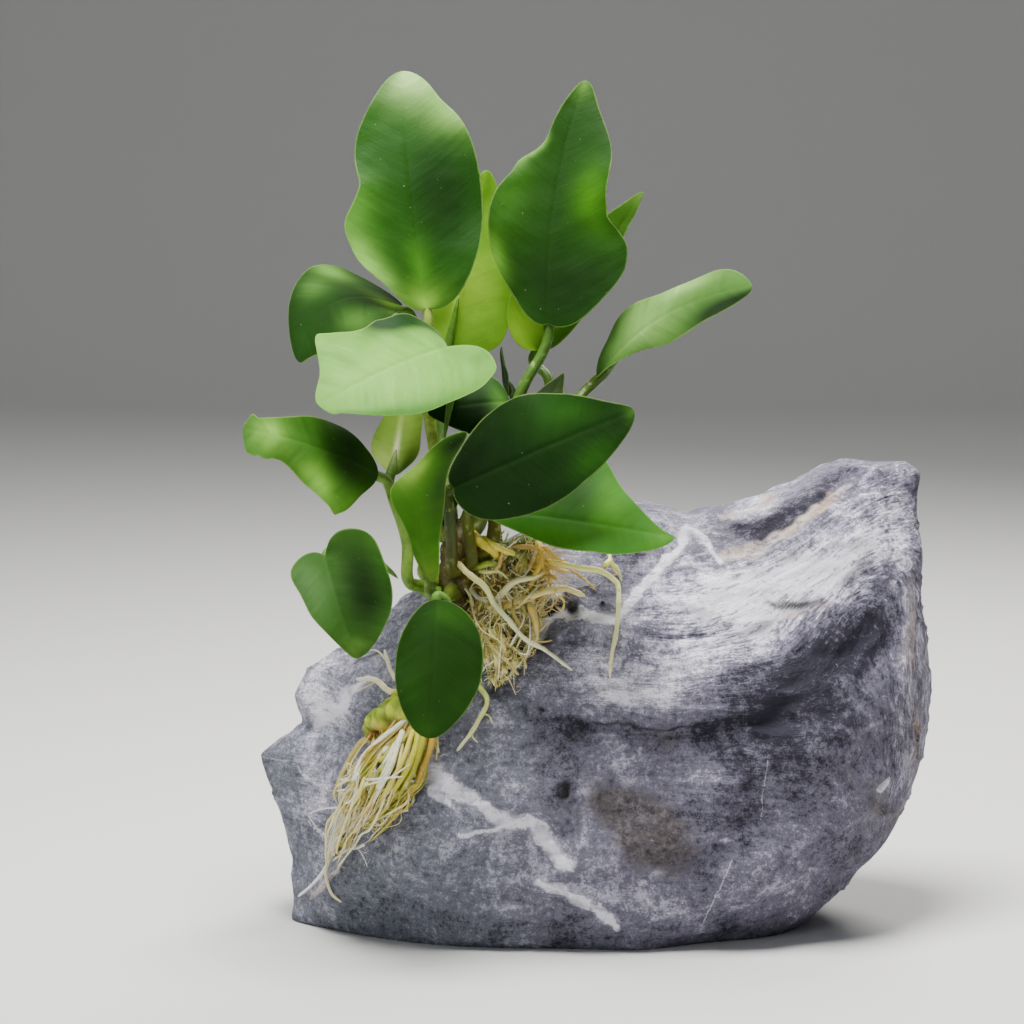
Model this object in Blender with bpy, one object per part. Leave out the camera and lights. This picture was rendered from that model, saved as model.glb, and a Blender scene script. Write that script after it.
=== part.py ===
"""An anubias grown onto a broken boulder of veined limestone.

Millimetres in the tables, metres in the meshes, +Z up. The origin lies on the stone's flat resting
face, below the middle of the stone. +X runs along the stone to its high shoulder, and -Y is the
front, the face that the plant creeps up. The plant is one creeping rhizome with its roots, its leaf
stalks and a blade on each stalk.
"""

import math
from collections import namedtuple

import bmesh
import bpy
import numpy as np

MM = 0.001
GAP = 0.3  # between pieces that touch in life

# ---- the stone ---------------------------------------------------------------------------------
STONE_AXIS = (2.0, 42.0)  # x and z of the line that the outline and the rings go round
# x, z of its silhouette from the front, from the lower left corner round to the buried underside
STONE_OUTLINE = (
    (-62, 0), (-62.5, 12), (-65.6, 25.6), (-68.4, 32.7), (-65, 36.4), (-60.4, 38.6), (-61.8, 44.8),
    (-58, 50), (-47, 57.2), (-40, 63), (-32, 68), (-20, 74), (-8, 79), (2, 81.6), (8, 83.2),
    (13, 82.8), (18, 81.2), (25, 82.4), (32, 84.2), (40, 87), (46, 90.4), (50.4, 91.4), (56, 90.2),
    (61.5, 90.8), (64.6, 89), (65, 80), (64.8, 64), (67, 46), (66.4, 38), (63, 25.6), (56.5, 15),
    (48.5, 6), (39, -1), (24, -8), (0, -11), (-30, -10), (-55, -7),
)
STONE_FRONT = 33.0  # how far the face stands before the rim, at its fullest
STONE_BACK = 34.0
RIM_LEAN = 0.15  # how far the rim leans back for each mm of height
STONE_TURN = 0.125  # the widest gap between the faces round it, in radians
FRONT_RINGS = (0.1, 0.19, 0.28, 0.37, 0.46, 0.55, 0.64, 0.73, 0.81, 0.88, 0.94, 0.98)  # edge shares
BACK_RINGS = (0.985, 0.93, 0.84, 0.7, 0.5, 0.25)
# the bevels that cut the face into facets, each falling away from a line: x and z of a point on the
# line, the way down from it in x and z, the fall for each mm, and the width it is rounded in over
FRONT_BEVELS = (
    ((-12, 0), (-1, 0), 0.22, 4), ((-38, 0), (-1, 0), 0.5, 3), ((-47, 50), (-0.55, 0.83), 0.45, 1.5),
    ((46, 0), (1, 0), 0.18, 5), ((0, 14), (0, -1), 0.3, 4), ((0, 56), (0, 1), 0.25, 3),
    ((6, 60), (0.4, 0.92), 0.3, 3), ((28, 24), (0.7, -0.7), 0.22, 3),
)
BACK_BEVELS = (
    ((0, 52), (0.1, 1), 0.3, 4), ((-20, 0), (-1, 0.1), 0.25, 3), ((24, 40), (0.9, 0.3), 0.15, 3),
    ((-5, 22), (-0.4, -0.9), 0.2, 3),
)
CHANNEL_TOP = (-34.0, 35.0)  # the channel that the lower roots lie in
CHANNEL_FALL = (-0.69, -0.724)
LOBE_RISE = 5.0  # how far the lobe on the channel's right stands before it
# x, z of the undercut ledge and of the crest below the bright upper facet; the face stands back by
# the depth below each, sharply at the edge and less and less over the fade
LEDGE = ((-14, 49.5), (-10, 47.8), (-0.6, 45.2), (10, 44.5), (19, 45.4), (30, 46.6), (36, 49.5))
LEDGE_DEPTH, LEDGE_SHARP, LEDGE_FADE = 3.0, 0.8, 8
CREST = ((20, 57), (24, 59), (38, 65), (51, 71), (60, 74))
CREST_DEPTH, CREST_SHARP, CREST_FADE = 3.2, 1.2, 9

# ---- the plant ---------------------------------------------------------------------------------
FREE_Y = -19.0  # the plant stays before this plane where the stone falls away behind it
RHIZOME = (  # x, z and distance of the axis before the stone
    (-45.8, 41.6, 4.4), (-43, 44.2, 4.6), (-39.3, 46.3, 4.9), (-34, 52.5, 5.4), (-30.6, 60, 5.2),
    (-28.8, 68, 4.8), (-27.9, 75.8, 4.6), (-26.7, 83.2, 4.4),
)
RHIZOME_RADIUS = 3.7
RHIZOME_KNUCKLES, KNUCKLE_RISE = 9, 0.35
BLADE_THICK = 0.7
LOBE_PEAK = 0.11  # how far down a blade, in t, its lobes reach back furthest
STALK_FOOT = 1.25  # a stalk's radius where it leaves the rhizome
STALK_NECK = 0.95  # and below the blade

Leaf = namedtuple(
    "Leaf",
    "name base tip face left right arch bow twist lift_left lift_right lobes wave foot side via",
    defaults=(0.0, 0.0, 0.0, (0, 0, 0), (0, 0, 0), (0, 0), 0.5, 0.9, (0, -1), ()),
)
# base and tip of the midrib, the way the upper side faces, half widths at a tenth, three, five, seven
# and nine tenths of the length, the midrib's arch towards its face and bow to its right, the blade's
# twist in degrees, the lift of the margins at two, five and eight tenths, how far the lobes reach back
# past the base, the waviness of the margin; then the stalk: its foot along the rhizome, the way it
# leaves it in x and y, and the points that it goes through
LEAVES = (
    Leaf("top_left", (-34.2, -14, 124), (-39.2, 2, 169.4), (0.05, -0.93, 0.37),
         (6.6, 13, 10.6, 10, 5.6), (8.5, 13, 14, 12.3, 6.4), 1.5, -1.0, 0, (1, 1.5, 0.5),
         (1, 0.5, 1), (1, 1), 0.8,
         0.93, (-0.95, 0.3), ((-31.8, -19.3, 88), (-34, -15, 104), (-34.8, -13, 116))),
    Leaf("top_right", (-10.4, -9, 120.4), (-3.1, 4, 167.5), (-0.1, -0.95, 0.3),
         (6.5, 11.8, 11.8, 5.4, 2.6), (9.4, 15, 11.5, 9.8, 4.3), 1.0, -2.4, 0, (0.5, 1, 0.5),
         (1, 2, 0.5), (1, 1), 0.8,
         0.96, (0.55, 0.85), ((-22.8, -15.6, 88), (-19.9, -14.5, 96.3), (-15.5, -11.5, 108))),
    Leaf("back_right", (-12.4, 8, 113.5), (8.8, 14, 144.8), (-0.2, -0.95, -0.1),
         (9, 11, 10, 8, 4), (3, 4, 4, 2.6, 1.5), 1.0, 0, 0, (0, 0, 0), (0, 0, 0), (2, 0), 0.4,
         0.92, (0, 1), ((-24.2, -11.5, 86), (-16, -5, 92), (-11, 2, 101), (-10.4, 6, 108))),
    Leaf("back_centre", (-30.6, 6, 114), (-22.6, 12, 149.3), (-0.1, 1, 0.1),
         (10, 11.2, 9.8, 7.2, 3.4), (4.4, 6.3, 6.1, 4.7, 2.4), 1.0, 0, 0, (0, 0, 0), (0, 0, 0), (1, 1), 0.4,
         0.82, (-0.15, 1), ((-29.5, -13.6, 84), (-31.5, -5, 94), (-31.8, 2, 104))),
    Leaf("upper_left", (-38.9, -6, 123.4), (-59, -20, 114), (-0.2, -0.6, 0.75),
         (4, 10, 12, 10, 4), (8, 11, 9.5, 8, 4), 5.0, 5.0, 0, (0, -1, -1), (0, -1, -1), (1, 1), 0.5,
         0.84, (-0.75, 0.65), ((-33, -14.5, 86), (-34.3, -8, 102), (-36.5, -5.5, 116))),
    Leaf("front_left", (-30.2, -20, 117), (-54.5, -36, 107.4), (0, -0.75, 0.66),
         (11, 13, 12.5, 9.4, 4.8), (9.5, 10.8, 10.5, 11.4, 5.4), 1.5, 0, 0, (0, 0, 0), (1, 1, 0), (7, 1), 0.5,
         0.9, (-0.5, -0.85), ((-31.2, -27, 85), (-30.6, -25.5, 100), (-29.2, -22.6, 110))),
    Leaf("middle", (-18, -16, 105.7), (-34, -19, 104), (0, -0.8, 0.6),
         (5, 7, 7, 5, 2.5), (5, 7, 7, 5, 2.5), 1.0, 0, 0, (0, 0, 0), (0, 0, 0), (0, 0), 0.4,
         0.98, (0.4, -0.9), ((-24, -21, 88.5), (-21.5, -18.5, 98.5))),
    Leaf("front_right", (-28.7, -36, 91.5), (5.4, -42, 107), (0, -0.95, 0.3),
         (5.8, 10.3, 11.2, 8.3, 3.4), (7.8, 10.4, 10.5, 8.4, 4.5), 1.5, 0, 0, (-1, -1, 0),
         (-0.5, -0.5, 0), (1, 1), 0.5,
         0.82, (-0.2, -1), ((-29.2, -31.5, 80), (-29.6, -34, 86.4))),
    Leaf("low_right", (-25.3, -29, 86.5), (13.2, -42, 82.8), (0, -0.8, 0.6),
         (8, 14, 16.5, 8.5, 2), (2, 4.4, 6.4, 6.3, 3.8), 1.0, 0, 0, (0, 0, 0), (0, 0, 0), (0, 0), 0.6,
         0.84, (0.45, -0.9), ((-26, -29.5, 82),)),
    Leaf("far_right", (-0.9, -8, 109.8), (28.9, -20, 128.7), (-0.3, -0.75, 0.6),
         (4.5, 6.8, 5.3, 5.3, 5), (1.2, 3.4, 6.5, 5.7, 3.2), 2.0, -3.0, 0, (0, 0, 0), (0, 0, 0), (0, 0), 0.6,
         0.9, (0.9, -0.5), ((-20.5, -25.4, 85.5), (-15, -21.5, 95), (-6.5, -15, 104))),
    Leaf("young_right", (-14.5, -14, 99), (-7.4, -8, 110.5), (0, -0.9, 0.4),
         (1.5, 3, 3, 2.2, 0.9), (1.5, 3, 3, 2.2, 0.9), 0, 0, 0, (0, 0, 0), (0, 0, 0), (0, 0), 0.1,
         0.88, (0.95, 0.1), ((-21.2, -19.6, 86), (-17.5, -16, 92.5))),
    Leaf("mid_left", (-43.4, -28, 93.1), (-68.7, -38, 103.2), (0, -0.8, 0.6),
         (5.6, 12.5, 9.2, 4.9, 6), (3.6, 6.8, 6.5, 4.5, 2.9), 2.0, 0, 0, (0, 0, 0), (0, 0, 0), (0, 0), 1.0,
         0.7, (-1, -0.35), ((-37.6, -31.5, 73), (-37.8, -30, 80), (-40.1, -29, 87.2))),
    Leaf("young_left", (-41, -18, 91.4), (-38.7, -8, 108.2), (0.2, 1, 0.2),
         (2.2, 4.1, 4.1, 4.1, 2.6), (2, 5.4, 5.2, 3.8, 2.6), 1.0, 0, 0, (1, 1, 0.5), (1, 1, 0.5), (0, 0), 0.3,
         0.76, (-1, 0.05), ((-34, -22.8, 77), (-37.8, -20.5, 86))),
    Leaf("centre", (-33, -40, 74), (-26.3, -44, 103.2), (-0.6, -0.8, 0),
         (4.2, 8.6, 12, 7.6, 4.3), (3, 5, 6, 5, 3), 1.0, 0, 0, (0, 0, 0), (-2, -4, -2), (0, 0), 0.5,
         0.72, (-0.1, -1), ((-31.6, -37, 70),)),
    Leaf("low_left", (-52.7, -50, 80.5), (-46.4, -56, 62), (-0.3, -0.9, 0.3),
         (9.5, 11, 10.9, 9.2, 5), (7.1, 6.8, 5.9, 3.9, 1.9), 1.0, 0, 0, (0, 0, 0), (0, 0, 0), (4, 2), 0.4,
         0.62, (-0.8, -0.6), ((-35.8, -36, 70), (-41, -39, 76), (-48.6, -45.5, 80.8))),
    Leaf("low_centre", (-31.8, -44.5, 71.3), (-33.2, -52, 46), (0, -0.95, 0.3),
         (6.2, 9, 9.4, 8, 4.4), (4.6, 7.4, 8, 7, 4.2), 1.0, 0, 0, (-1, -1, 0), (-1, -1, 0), (0, 0), 0.3,
         0.58, (0.2, -1), ((-29.2, -40.5, 67), (-30.6, -42.6, 71))),
    Leaf("young_back", (-18.4, 0, 105.1), (-19.8, 4, 114.7), (-1, -0.3, 0),
         (1, 2, 2, 1.5, 0.7), (1, 2, 2, 1.5, 0.7), 0, 0, 0, (0, 0, 0), (0, 0, 0), (0, 0), 0.1,
         0.97, (-0.7, 0.7), ((-27.8, -14.6, 88), (-21.6, -7, 95.3))),
)

Root = namedtuple("Root", "name radius foot path")
# radius, where it leaves the rhizome, and x, z and distance before the stone of the points on its way
ROOTS = (
    Root("long_front", 0.85, 0.72,
         ((-21.6, 71, 11.4), (-17.6, 63.3, 10.8), (-12.2, 59.3, 5.5), (-6.1, 56.6, 1.4))),
    Root("arching", 0.9, 0.79,
         ((-21, 77.5, 10), (-13, 78.6, 9.5), (-6, 76.8, 8), (-1, 74.6, 7), (2.2, 72, 7),
          (3.6, 67.6, 6), (2.6, 60, 3), (1.6, 53.6, 1.3))),
    Root("stub_right", 1.0, 0.64,
         ((-19.5, 68.4, 11), (-13.5, 68.6, 10.4), (-8, 70.2, 6.4), (-3.6, 69.5, 1.8))),
    Root("low_right", 0.8, 0.45,
         ((-25, 53, 3.4), (-22.2, 49.2, 2), (-24.2, 45.2, 1.6), (-28.3, 39.4, 1.3))),
    Root("short_right", 0.6, 0.3, ((-33.4, 44, 2), (-31.8, 38.8, 1.4))),
    Root("left", 0.8, 0.2, ((-41.8, 49.6, 3), (-44.2, 51.4, 1.8), (-48.2, 51.6, 1.3))),
    Root("left_thin", 0.5, 0.3, ((-40.4, 52, 2.6), (-42.6, 57.4, 1.2))),
)

# the two masses of roots too fine to part: x, z, distance before the stone, half width and half depth
LOW_BUNDLE = (
    (-40.6, 39.6, 5.6, 5.6, 2.8), (-43.8, 32.6, 7.6, 6.4, 3.1), (-48.8, 23.5, 7.2, 4.4, 2.6),
    (-52.6, 15.6, 3.8, 2.4, 1.7), (-53.8, 10, 1.9, 1, 0.9),
)
TOP_TANGLE = (
    (-14.2, 80.5, 4.2, 3.6, 2), (-15, 76, 4.8, 5.6, 2.6), (-15.6, 69, 5.7, 7, 2.8),
    (-17, 61, 5.4, 5.8, 2.7), (-19.6, 55.5, 3.8, 3.2, 1.9), (-20.6, 52, 2.6, 1.3, 0.9),
)

# colour and roughness of each kind of piece
LOOKS = {
    "stone": ((0.33, 0.35, 0.39), 0.75),
    "rhizome": ((0.24, 0.26, 0.06), 0.6),
    "leaf": ((0.04, 0.16, 0.02), 0.4),
    "stalk": ((0.16, 0.28, 0.05), 0.5),
    "root": ((0.62, 0.52, 0.28), 0.7),
}


def add(name, data):
    """The piece, in a material of its own in the look of its kind, the first word of its name."""
    colour, roughness = LOOKS[name.split("_")[0]]
    material = bpy.data.materials.new(name)
    material.use_nodes = True
    shader = material.node_tree.nodes["Principled BSDF"]
    shader.inputs["Base Color"].default_value = (*colour, 1)
    shader.inputs["Roughness"].default_value = roughness
    shader.inputs["Metallic"].default_value = 0
    data.materials.append(material)
    piece = bpy.data.objects.new(name, data)
    bpy.context.scene.collection.objects.link(piece)
    return piece


def hermite(at, knots, values):
    """The smooth curve through values at knots, of cubics that share their slope at each knot."""
    at, knots, values = (np.asarray(a, float) for a in (at, knots, values))
    slope = np.gradient(values, knots, axis=0)
    i = np.clip(np.searchsorted(knots, at, side="right") - 1, 0, len(knots) - 2)
    span = knots[i + 1] - knots[i]
    s = (at - knots[i]) / span
    if values.ndim > 1:
        s, span = s[:, None], span[:, None]
    return ((1 + 2 * s) * (1 - s) ** 2 * values[i] + s**2 * (3 - 2 * s) * values[i + 1]
            + span * s * (1 - s) * ((1 - s) * slope[i] - s * slope[i + 1]))


def smooth_path(points, count):
    """count points, evenly spaced by chord, on the smooth curve through the given ones."""
    points = np.asarray(points, float)
    chord = np.concatenate([[0], np.cumsum(np.linalg.norm(np.diff(points, axis=0), axis=1))])
    return hermite(np.linspace(0, chord[-1], count), chord, points)


def unit(vector):
    vector = np.asarray(vector, float)
    return vector / np.linalg.norm(vector)


# ---- the stone ---------------------------------------------------------------------------------
def ramp(value, width):
    """Nought below zero and the value above it, rounded over width."""
    return (value + np.sqrt(value * value + width * width)) / 2


def step(value, width):
    return 1 / (1 + np.exp(-value / width))


def bevelled(depth, x, z, bevels):
    """The depth less what each bevel takes away, its fall times how far (x, z) lies past its line."""
    for (start_x, start_z), (way_x, way_z), fall, width in bevels:
        depth = depth - fall * ramp((x - start_x) * way_x + (z - start_z) * way_z, width)
    return depth


def outline_radius(angle):
    x, z = (np.array(STONE_OUTLINE) - STONE_AXIS).T
    turn, reach = np.arctan2(z, x), np.hypot(x, z)
    order = np.argsort(turn)
    return np.interp(angle, turn[order], reach[order], period=2 * math.pi)


def edge_share(x, z):
    """How far out (x, z) lies from the stone's axis, as a share of the outline's reach that way."""
    dx, dz = x - STONE_AXIS[0], z - STONE_AXIS[1]
    return np.hypot(dx, dz) / outline_radius(np.arctan2(dz, dx))


def undercut(x, z, edge, sharp, fade):
    """One just below the edge, falling away beneath it, and nought above it and beyond its ends."""
    below = np.interp(x, *np.array(edge).T) - z
    inside = step(x - edge[0][0], 2) * step(edge[-1][0] - x, 2)
    return step(below, sharp) * np.exp(-ramp(below, 2) / fade) * inside


def face_depth(x, z):
    """The face's full distance before the rim, less what each bevel, channel and ledge takes away."""
    depth = bevelled(STONE_FRONT, x, z, FRONT_BEVELS)
    right_of = (z - CHANNEL_TOP[1]) * CHANNEL_FALL[0] - (x - CHANNEL_TOP[0]) * CHANNEL_FALL[1]
    depth += LOBE_RISE * step(right_of, 1.3) * np.exp(-ramp(right_of, 4) / 18) * step(39 - z, 3)
    depth -= LEDGE_DEPTH * undercut(x, z, LEDGE, LEDGE_SHARP, LEDGE_FADE)
    depth -= CREST_DEPTH * undercut(x, z, CREST, CREST_SHARP, CREST_FADE)
    return depth + 0.9 * np.sin(0.21 * x + 0.13 * z) + 0.7 * np.sin(0.17 * x - 0.31 * z + 1)


def stone_front(x, z):
    """y of the face: its depth falls to the rim as the root of 1 less the edge share to the sixth."""
    drop = np.sqrt(np.clip(1 - edge_share(x, z) ** 6, 0, 1))
    return RIM_LEAN * (z - STONE_AXIS[1]) - face_depth(x, z) * drop


def stone_back(x, z):
    drop = np.sqrt(np.clip(1 - edge_share(x, z) ** 5, 0, 1))
    depth = bevelled(STONE_BACK, x, z, BACK_BEVELS) + 1.2 * np.sin(0.11 * x + 0.17 * z)
    return RIM_LEAN * (z - STONE_AXIS[1]) + depth * drop


def stone_turns():
    """The turns at which the outline has its corners, with the wide gaps between them divided."""
    x, z = (np.array(STONE_OUTLINE) - STONE_AXIS).T
    corners = np.sort(np.arctan2(z, x))
    gaps = np.diff(corners, append=corners[0] + 2 * math.pi)
    return np.concatenate([
        corner + gap * np.linspace(0, 1, math.ceil(gap / STONE_TURN), endpoint=False)
        for corner, gap in zip(corners, gaps)
    ])


def make_stone():
    """Rings from the middle of the front to that of the back, drawn out to the outline, cut underneath."""
    turns = stone_turns()
    shares = np.array([*FRONT_RINGS, 1, *BACK_RINGS])
    share, turn = np.meshgrid(shares, turns, indexing="ij")
    reach = share * outline_radius(turn)
    x, z = STONE_AXIS[0] + reach * np.cos(turn), STONE_AXIS[1] + reach * np.sin(turn)
    before_rim = np.arange(len(shares))[:, None] < len(FRONT_RINGS)
    y = np.where(before_rim, stone_front(x, z), stone_back(x, z))
    poles = [[STONE_AXIS[0], float(face(*STONE_AXIS)), STONE_AXIS[1]] for face in (stone_front, stone_back)]
    points = np.concatenate([np.stack([x, y, z], -1).reshape(-1, 3), poles])
    around = len(turns)
    ring = np.arange(around)
    after = np.roll(ring, -1)
    starts = np.arange(len(shares) - 1)[:, None] * around
    walls = np.stack([starts + ring, starts + after, starts + around + after, starts + around + ring], -1)
    last = (len(shares) - 1) * around
    front, back = len(points) - 2, len(points) - 1
    caps = [(front, a, b) for a, b in zip(ring, after)]
    caps += [(back, last + b, last + a) for a, b in zip(ring, after)]
    mesh = bpy.data.meshes.new("stone")
    mesh.from_pydata((points * MM).tolist(), [], walls.reshape(-1, 4).tolist() + caps)
    bm = bmesh.new()
    bm.from_mesh(mesh)
    bmesh.ops.bisect_plane(bm, geom=[*bm.verts, *bm.edges, *bm.faces], dist=1e-7,
                           plane_co=(0, 0, 0), plane_no=(0, 0, -1), clear_outer=True)
    bmesh.ops.holes_fill(bm, edges=[edge for edge in bm.edges if edge.is_boundary])
    bmesh.ops.recalc_face_normals(bm, faces=bm.faces)
    bm.to_mesh(mesh)
    bm.free()
    add("stone", mesh)


# ---- rods: the rhizome, the stalks and the roots -----------------------------------------------
def before_stone(x, z, distance):
    """The point at (x, z) that far before the stone, or before the free plane where that is nearer."""
    return np.array([x, min(float(stone_front(x, z)), FREE_Y) - distance, z])


def rod(name, path, radii, fineness):
    """A round rod along the path, as a curve with a bevel, its radius from point to point."""
    curve = bpy.data.curves.new(name, "CURVE")
    curve.dimensions = "3D"
    curve.bevel_depth = MM
    curve.bevel_resolution = fineness
    curve.use_fill_caps = True
    spline = curve.splines.new("POLY")
    spline.points.add(len(path) - 1)
    for point, place, radius in zip(spline.points, path, radii):
        point.co = (*(place * MM), 1)
        point.radius = radius
    add(name, curve)


def rhizome_axis(share):
    points = np.array([before_stone(*row) for row in RHIZOME])
    chord = np.concatenate([[0], np.cumsum(np.linalg.norm(np.diff(points, axis=0), axis=1))])
    return hermite(np.atleast_1d(share) * chord[-1], chord, points)


def rhizome_radius(share):
    """Rounded ends, and a knuckle at each old leaf."""
    ends = np.sqrt(np.clip(1 - (2 * np.clip(share, 0.02, 0.985) - 1) ** 8, 0, 1))
    return (RHIZOME_RADIUS + KNUCKLE_RISE * np.cos(2 * math.pi * RHIZOME_KNUCKLES * share)) * ends


def make_rhizome():
    share = (1 - np.cos(np.linspace(0, math.pi, 30))) / 2
    rod("rhizome", rhizome_axis(share), rhizome_radius(share), 2)


def rhizome_skin(share, toward, clear):
    """The point off the rhizome's skin at share of its length, on the side that toward points to."""
    here, ahead = rhizome_axis([share, share + 0.01])
    along = unit(ahead - here)
    out = unit(toward - along * np.dot(toward, along))
    return here + out * (float(rhizome_radius(share)) + clear), out


def make_stalk(leaf):
    """From the rhizome's skin through its points, into the blade from behind its base."""
    along, face, _ = blade_axes(leaf)
    foot, out = rhizome_skin(leaf.foot, np.array([*leaf.side, 0.0]), GAP + 0.45)
    end = np.array(leaf.base) - along * (GAP + 0.2 + 0.1 * max(leaf.lobes))
    neck = end - along * 3 - face * 0.8
    path = smooth_path([foot, foot + out * 1.6 + (0, 0, 0.8), *leaf.via, neck, end], 11)
    rod("stalk_" + leaf.name, path, np.linspace(STALK_FOOT, STALK_NECK, len(path)), 1)


def make_root(root):
    path = [before_stone(*row) for row in root.path]
    foot, out = rhizome_skin(root.foot, path[0] - rhizome_axis(root.foot)[0], GAP + 0.3)
    path = smooth_path([foot, *path], 4 + 3 * len(path))
    rod("root_" + root.name, path, root.radius * np.linspace(1.1, 0.6, len(path)), 0)


def make_mass(name, rows):
    """A closed form with an oval section, carried down the rows from end to end."""
    rows = np.array(rows, float)
    middles = np.array([before_stone(x, z, distance) for x, z, distance, _, _ in rows])
    chord = np.concatenate([[0], np.cumsum(np.linalg.norm(np.diff(middles, axis=0), axis=1))])
    at = np.linspace(0, chord[-1], 10)
    middles, half_width, half_depth = (
        hermite(at, chord, values) for values in (middles, rows[:, 3], rows[:, 4])
    )
    turn = np.linspace(0, 2 * math.pi, 12, endpoint=False)
    bm = bmesh.new()
    rings = []
    for i, (middle, wide, deep) in enumerate(zip(middles, half_width, half_depth)):
        along = unit(middles[min(i + 1, len(at) - 1)] - middles[max(i - 1, 0)])
        across = unit(np.cross(along, (0, -1, 0)))
        out = np.cross(across, along)
        ring = middle + np.outer(np.cos(turn) * wide, across) + np.outer(np.sin(turn) * deep, out)
        rings.append([bm.verts.new(place * MM) for place in ring])
    for one, other in zip(rings, rings[1:]):
        for k in range(len(turn)):
            bm.faces.new((one[k - 1], one[k], other[k], other[k - 1]))
    bm.faces.new(rings[0])
    bm.faces.new(rings[-1])
    bmesh.ops.recalc_face_normals(bm, faces=bm.faces)
    mesh = bpy.data.meshes.new(name)
    bm.to_mesh(mesh)
    bm.free()
    add(name, mesh)


# ---- the blades --------------------------------------------------------------------------------
def blade_axes(leaf):
    """Unit vectors along the blade, out of its upper side, and to its right as that side is seen."""
    along = unit(np.subtract(leaf.tip, leaf.base))
    face = unit(leaf.face - along * np.dot(leaf.face, along))
    return along, face, np.cross(along, face)


def blade_surface(leaf, across, down):
    """The blade's middle surface on a grid, v across it from -1 to 1 and t down it from 0 to 1.

    The length runs as (1 - cos(pi t)) / 2, so that both ends are round. The midrib is the straight
    line from base to tip plus its arch and bow, each a parabola. The half width and the margin's lift
    are smooth curves through their stations, and the lift grows as |v| to the 1.7. The lobes slide the
    margin back beside the base.
    """
    along, face, right = blade_axes(leaf)
    t, v = np.meshgrid(down, across, indexing="ij")
    u = (1 - np.cos(math.pi * t)) / 2
    stations = np.arccos(1 - 2 * np.array([0, 0.1, 0.3, 0.5, 0.7, 0.9, 1])) / math.pi
    sides = v > 0
    width = np.where(sides, *(hermite(t.ravel(), stations, [0, *row, 0]).reshape(t.shape)
                              for row in (leaf.right, leaf.left)))
    lift = np.where(sides, *(hermite(u.ravel(), [0, 0.2, 0.5, 0.8, 1], [0, *row, 0]).reshape(t.shape)
                             for row in (leaf.lift_right, leaf.lift_left)))
    ripple = np.sin(3 * math.pi * u + 1.5 * np.sign(v)) * np.sin(math.pi * u)
    lift = lift * np.abs(v) ** 1.7 + leaf.wave * v * v * ripple
    turn = math.radians(leaf.twist) * u
    lobe = np.where(sides, leaf.lobes[1], leaf.lobes[0]) * np.abs(v) ** 1.5
    lobe = lobe * (t / LOBE_PEAK) * np.exp(1 - t / LOBE_PEAK)
    hump = 4 * u * (1 - u)
    length = np.linalg.norm(np.subtract(leaf.tip, leaf.base))
    out_right = width * v * np.cos(turn) + leaf.bow * hump
    out_face = width * v * np.sin(turn) + lift + leaf.arch * hump
    return (np.array(leaf.base) + (length * u - lobe)[..., None] * along
            + out_face[..., None] * face + out_right[..., None] * right)


def make_blade(leaf):
    across, down = np.linspace(-1, 1, 5), np.linspace(0.04, 0.985, 10)
    grid = blade_surface(leaf, across, down)
    rows, columns = grid.shape[:2]
    corner = np.arange(rows * columns).reshape(rows, columns)
    faces = np.stack([corner[:-1, :-1], corner[:-1, 1:], corner[1:, 1:], corner[1:, :-1]], -1)
    mesh = bpy.data.meshes.new("leaf_" + leaf.name)
    mesh.from_pydata((grid.reshape(-1, 3) * MM).tolist(), [], faces.reshape(-1, 4).tolist())
    mesh.shade_smooth()
    skin = add("leaf_" + leaf.name, mesh).modifiers.new("thickness", "SOLIDIFY")
    skin.thickness = BLADE_THICK * MM
    skin.offset = 0


# ---- the whole ---------------------------------------------------------------------------------
for leftover in list(bpy.data.objects):
    bpy.data.objects.remove(leftover)
bpy.context.scene.unit_settings.system = "METRIC"
make_stone()
make_rhizome()
for leaf in LEAVES:
    make_blade(leaf)
    make_stalk(leaf)
for root in ROOTS:
    make_root(root)
make_mass("root_bundle_low", LOW_BUNDLE)
make_mass("root_tangle_top", TOP_TANGLE)
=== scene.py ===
"""The looks of a small anubias grown onto a boulder of veined grey limestone.

Tables are in millimetres and meshes in metres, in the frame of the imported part: the origin on the
stone's resting face, +X along the stone to its high shoulder, -Y the front, +Z up.
"""

import itertools
import math
from collections import namedtuple

import bmesh
import bpy
import numpy as np
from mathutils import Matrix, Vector


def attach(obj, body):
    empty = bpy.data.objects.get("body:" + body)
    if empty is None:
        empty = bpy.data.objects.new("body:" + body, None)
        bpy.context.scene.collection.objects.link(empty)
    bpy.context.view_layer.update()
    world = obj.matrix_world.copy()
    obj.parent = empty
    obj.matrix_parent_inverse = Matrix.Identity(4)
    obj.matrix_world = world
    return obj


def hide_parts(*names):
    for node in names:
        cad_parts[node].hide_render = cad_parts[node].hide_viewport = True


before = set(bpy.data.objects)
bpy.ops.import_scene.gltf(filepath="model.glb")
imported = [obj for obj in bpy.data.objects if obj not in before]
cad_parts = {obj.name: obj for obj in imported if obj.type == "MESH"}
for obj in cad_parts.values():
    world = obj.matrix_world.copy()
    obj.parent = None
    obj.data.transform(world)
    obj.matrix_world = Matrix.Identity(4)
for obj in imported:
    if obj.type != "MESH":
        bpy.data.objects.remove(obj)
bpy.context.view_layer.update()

# ---- studio ------------------------------------------------------------------------------------
# A plain pale floor that sweeps up behind into a plain pale wall, a large soft light overhead as
# over a tank, weaker ones in front and behind, and the photograph's viewpoint.
MM = 0.001
FLOOR_HALF_WIDTH, FLOOR_FRONT, FLOOR_BACK, WALL_HEIGHT = 4500, -4500, 900, 2200
FLOOR_SWEEP, SWEEP_POINTS = 420, 13  # radius of the curve between floor and wall, and its points
FLOOR_COLOUR = (0.66, 0.66, 0.65)
CAMERA_PLACE = (-17.6, -792.2, 193.1)
CAMERA_PITCH = 8  # degrees below level
CAMERA_LENS, CAMERA_SENSOR = 140.6, 36
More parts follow.
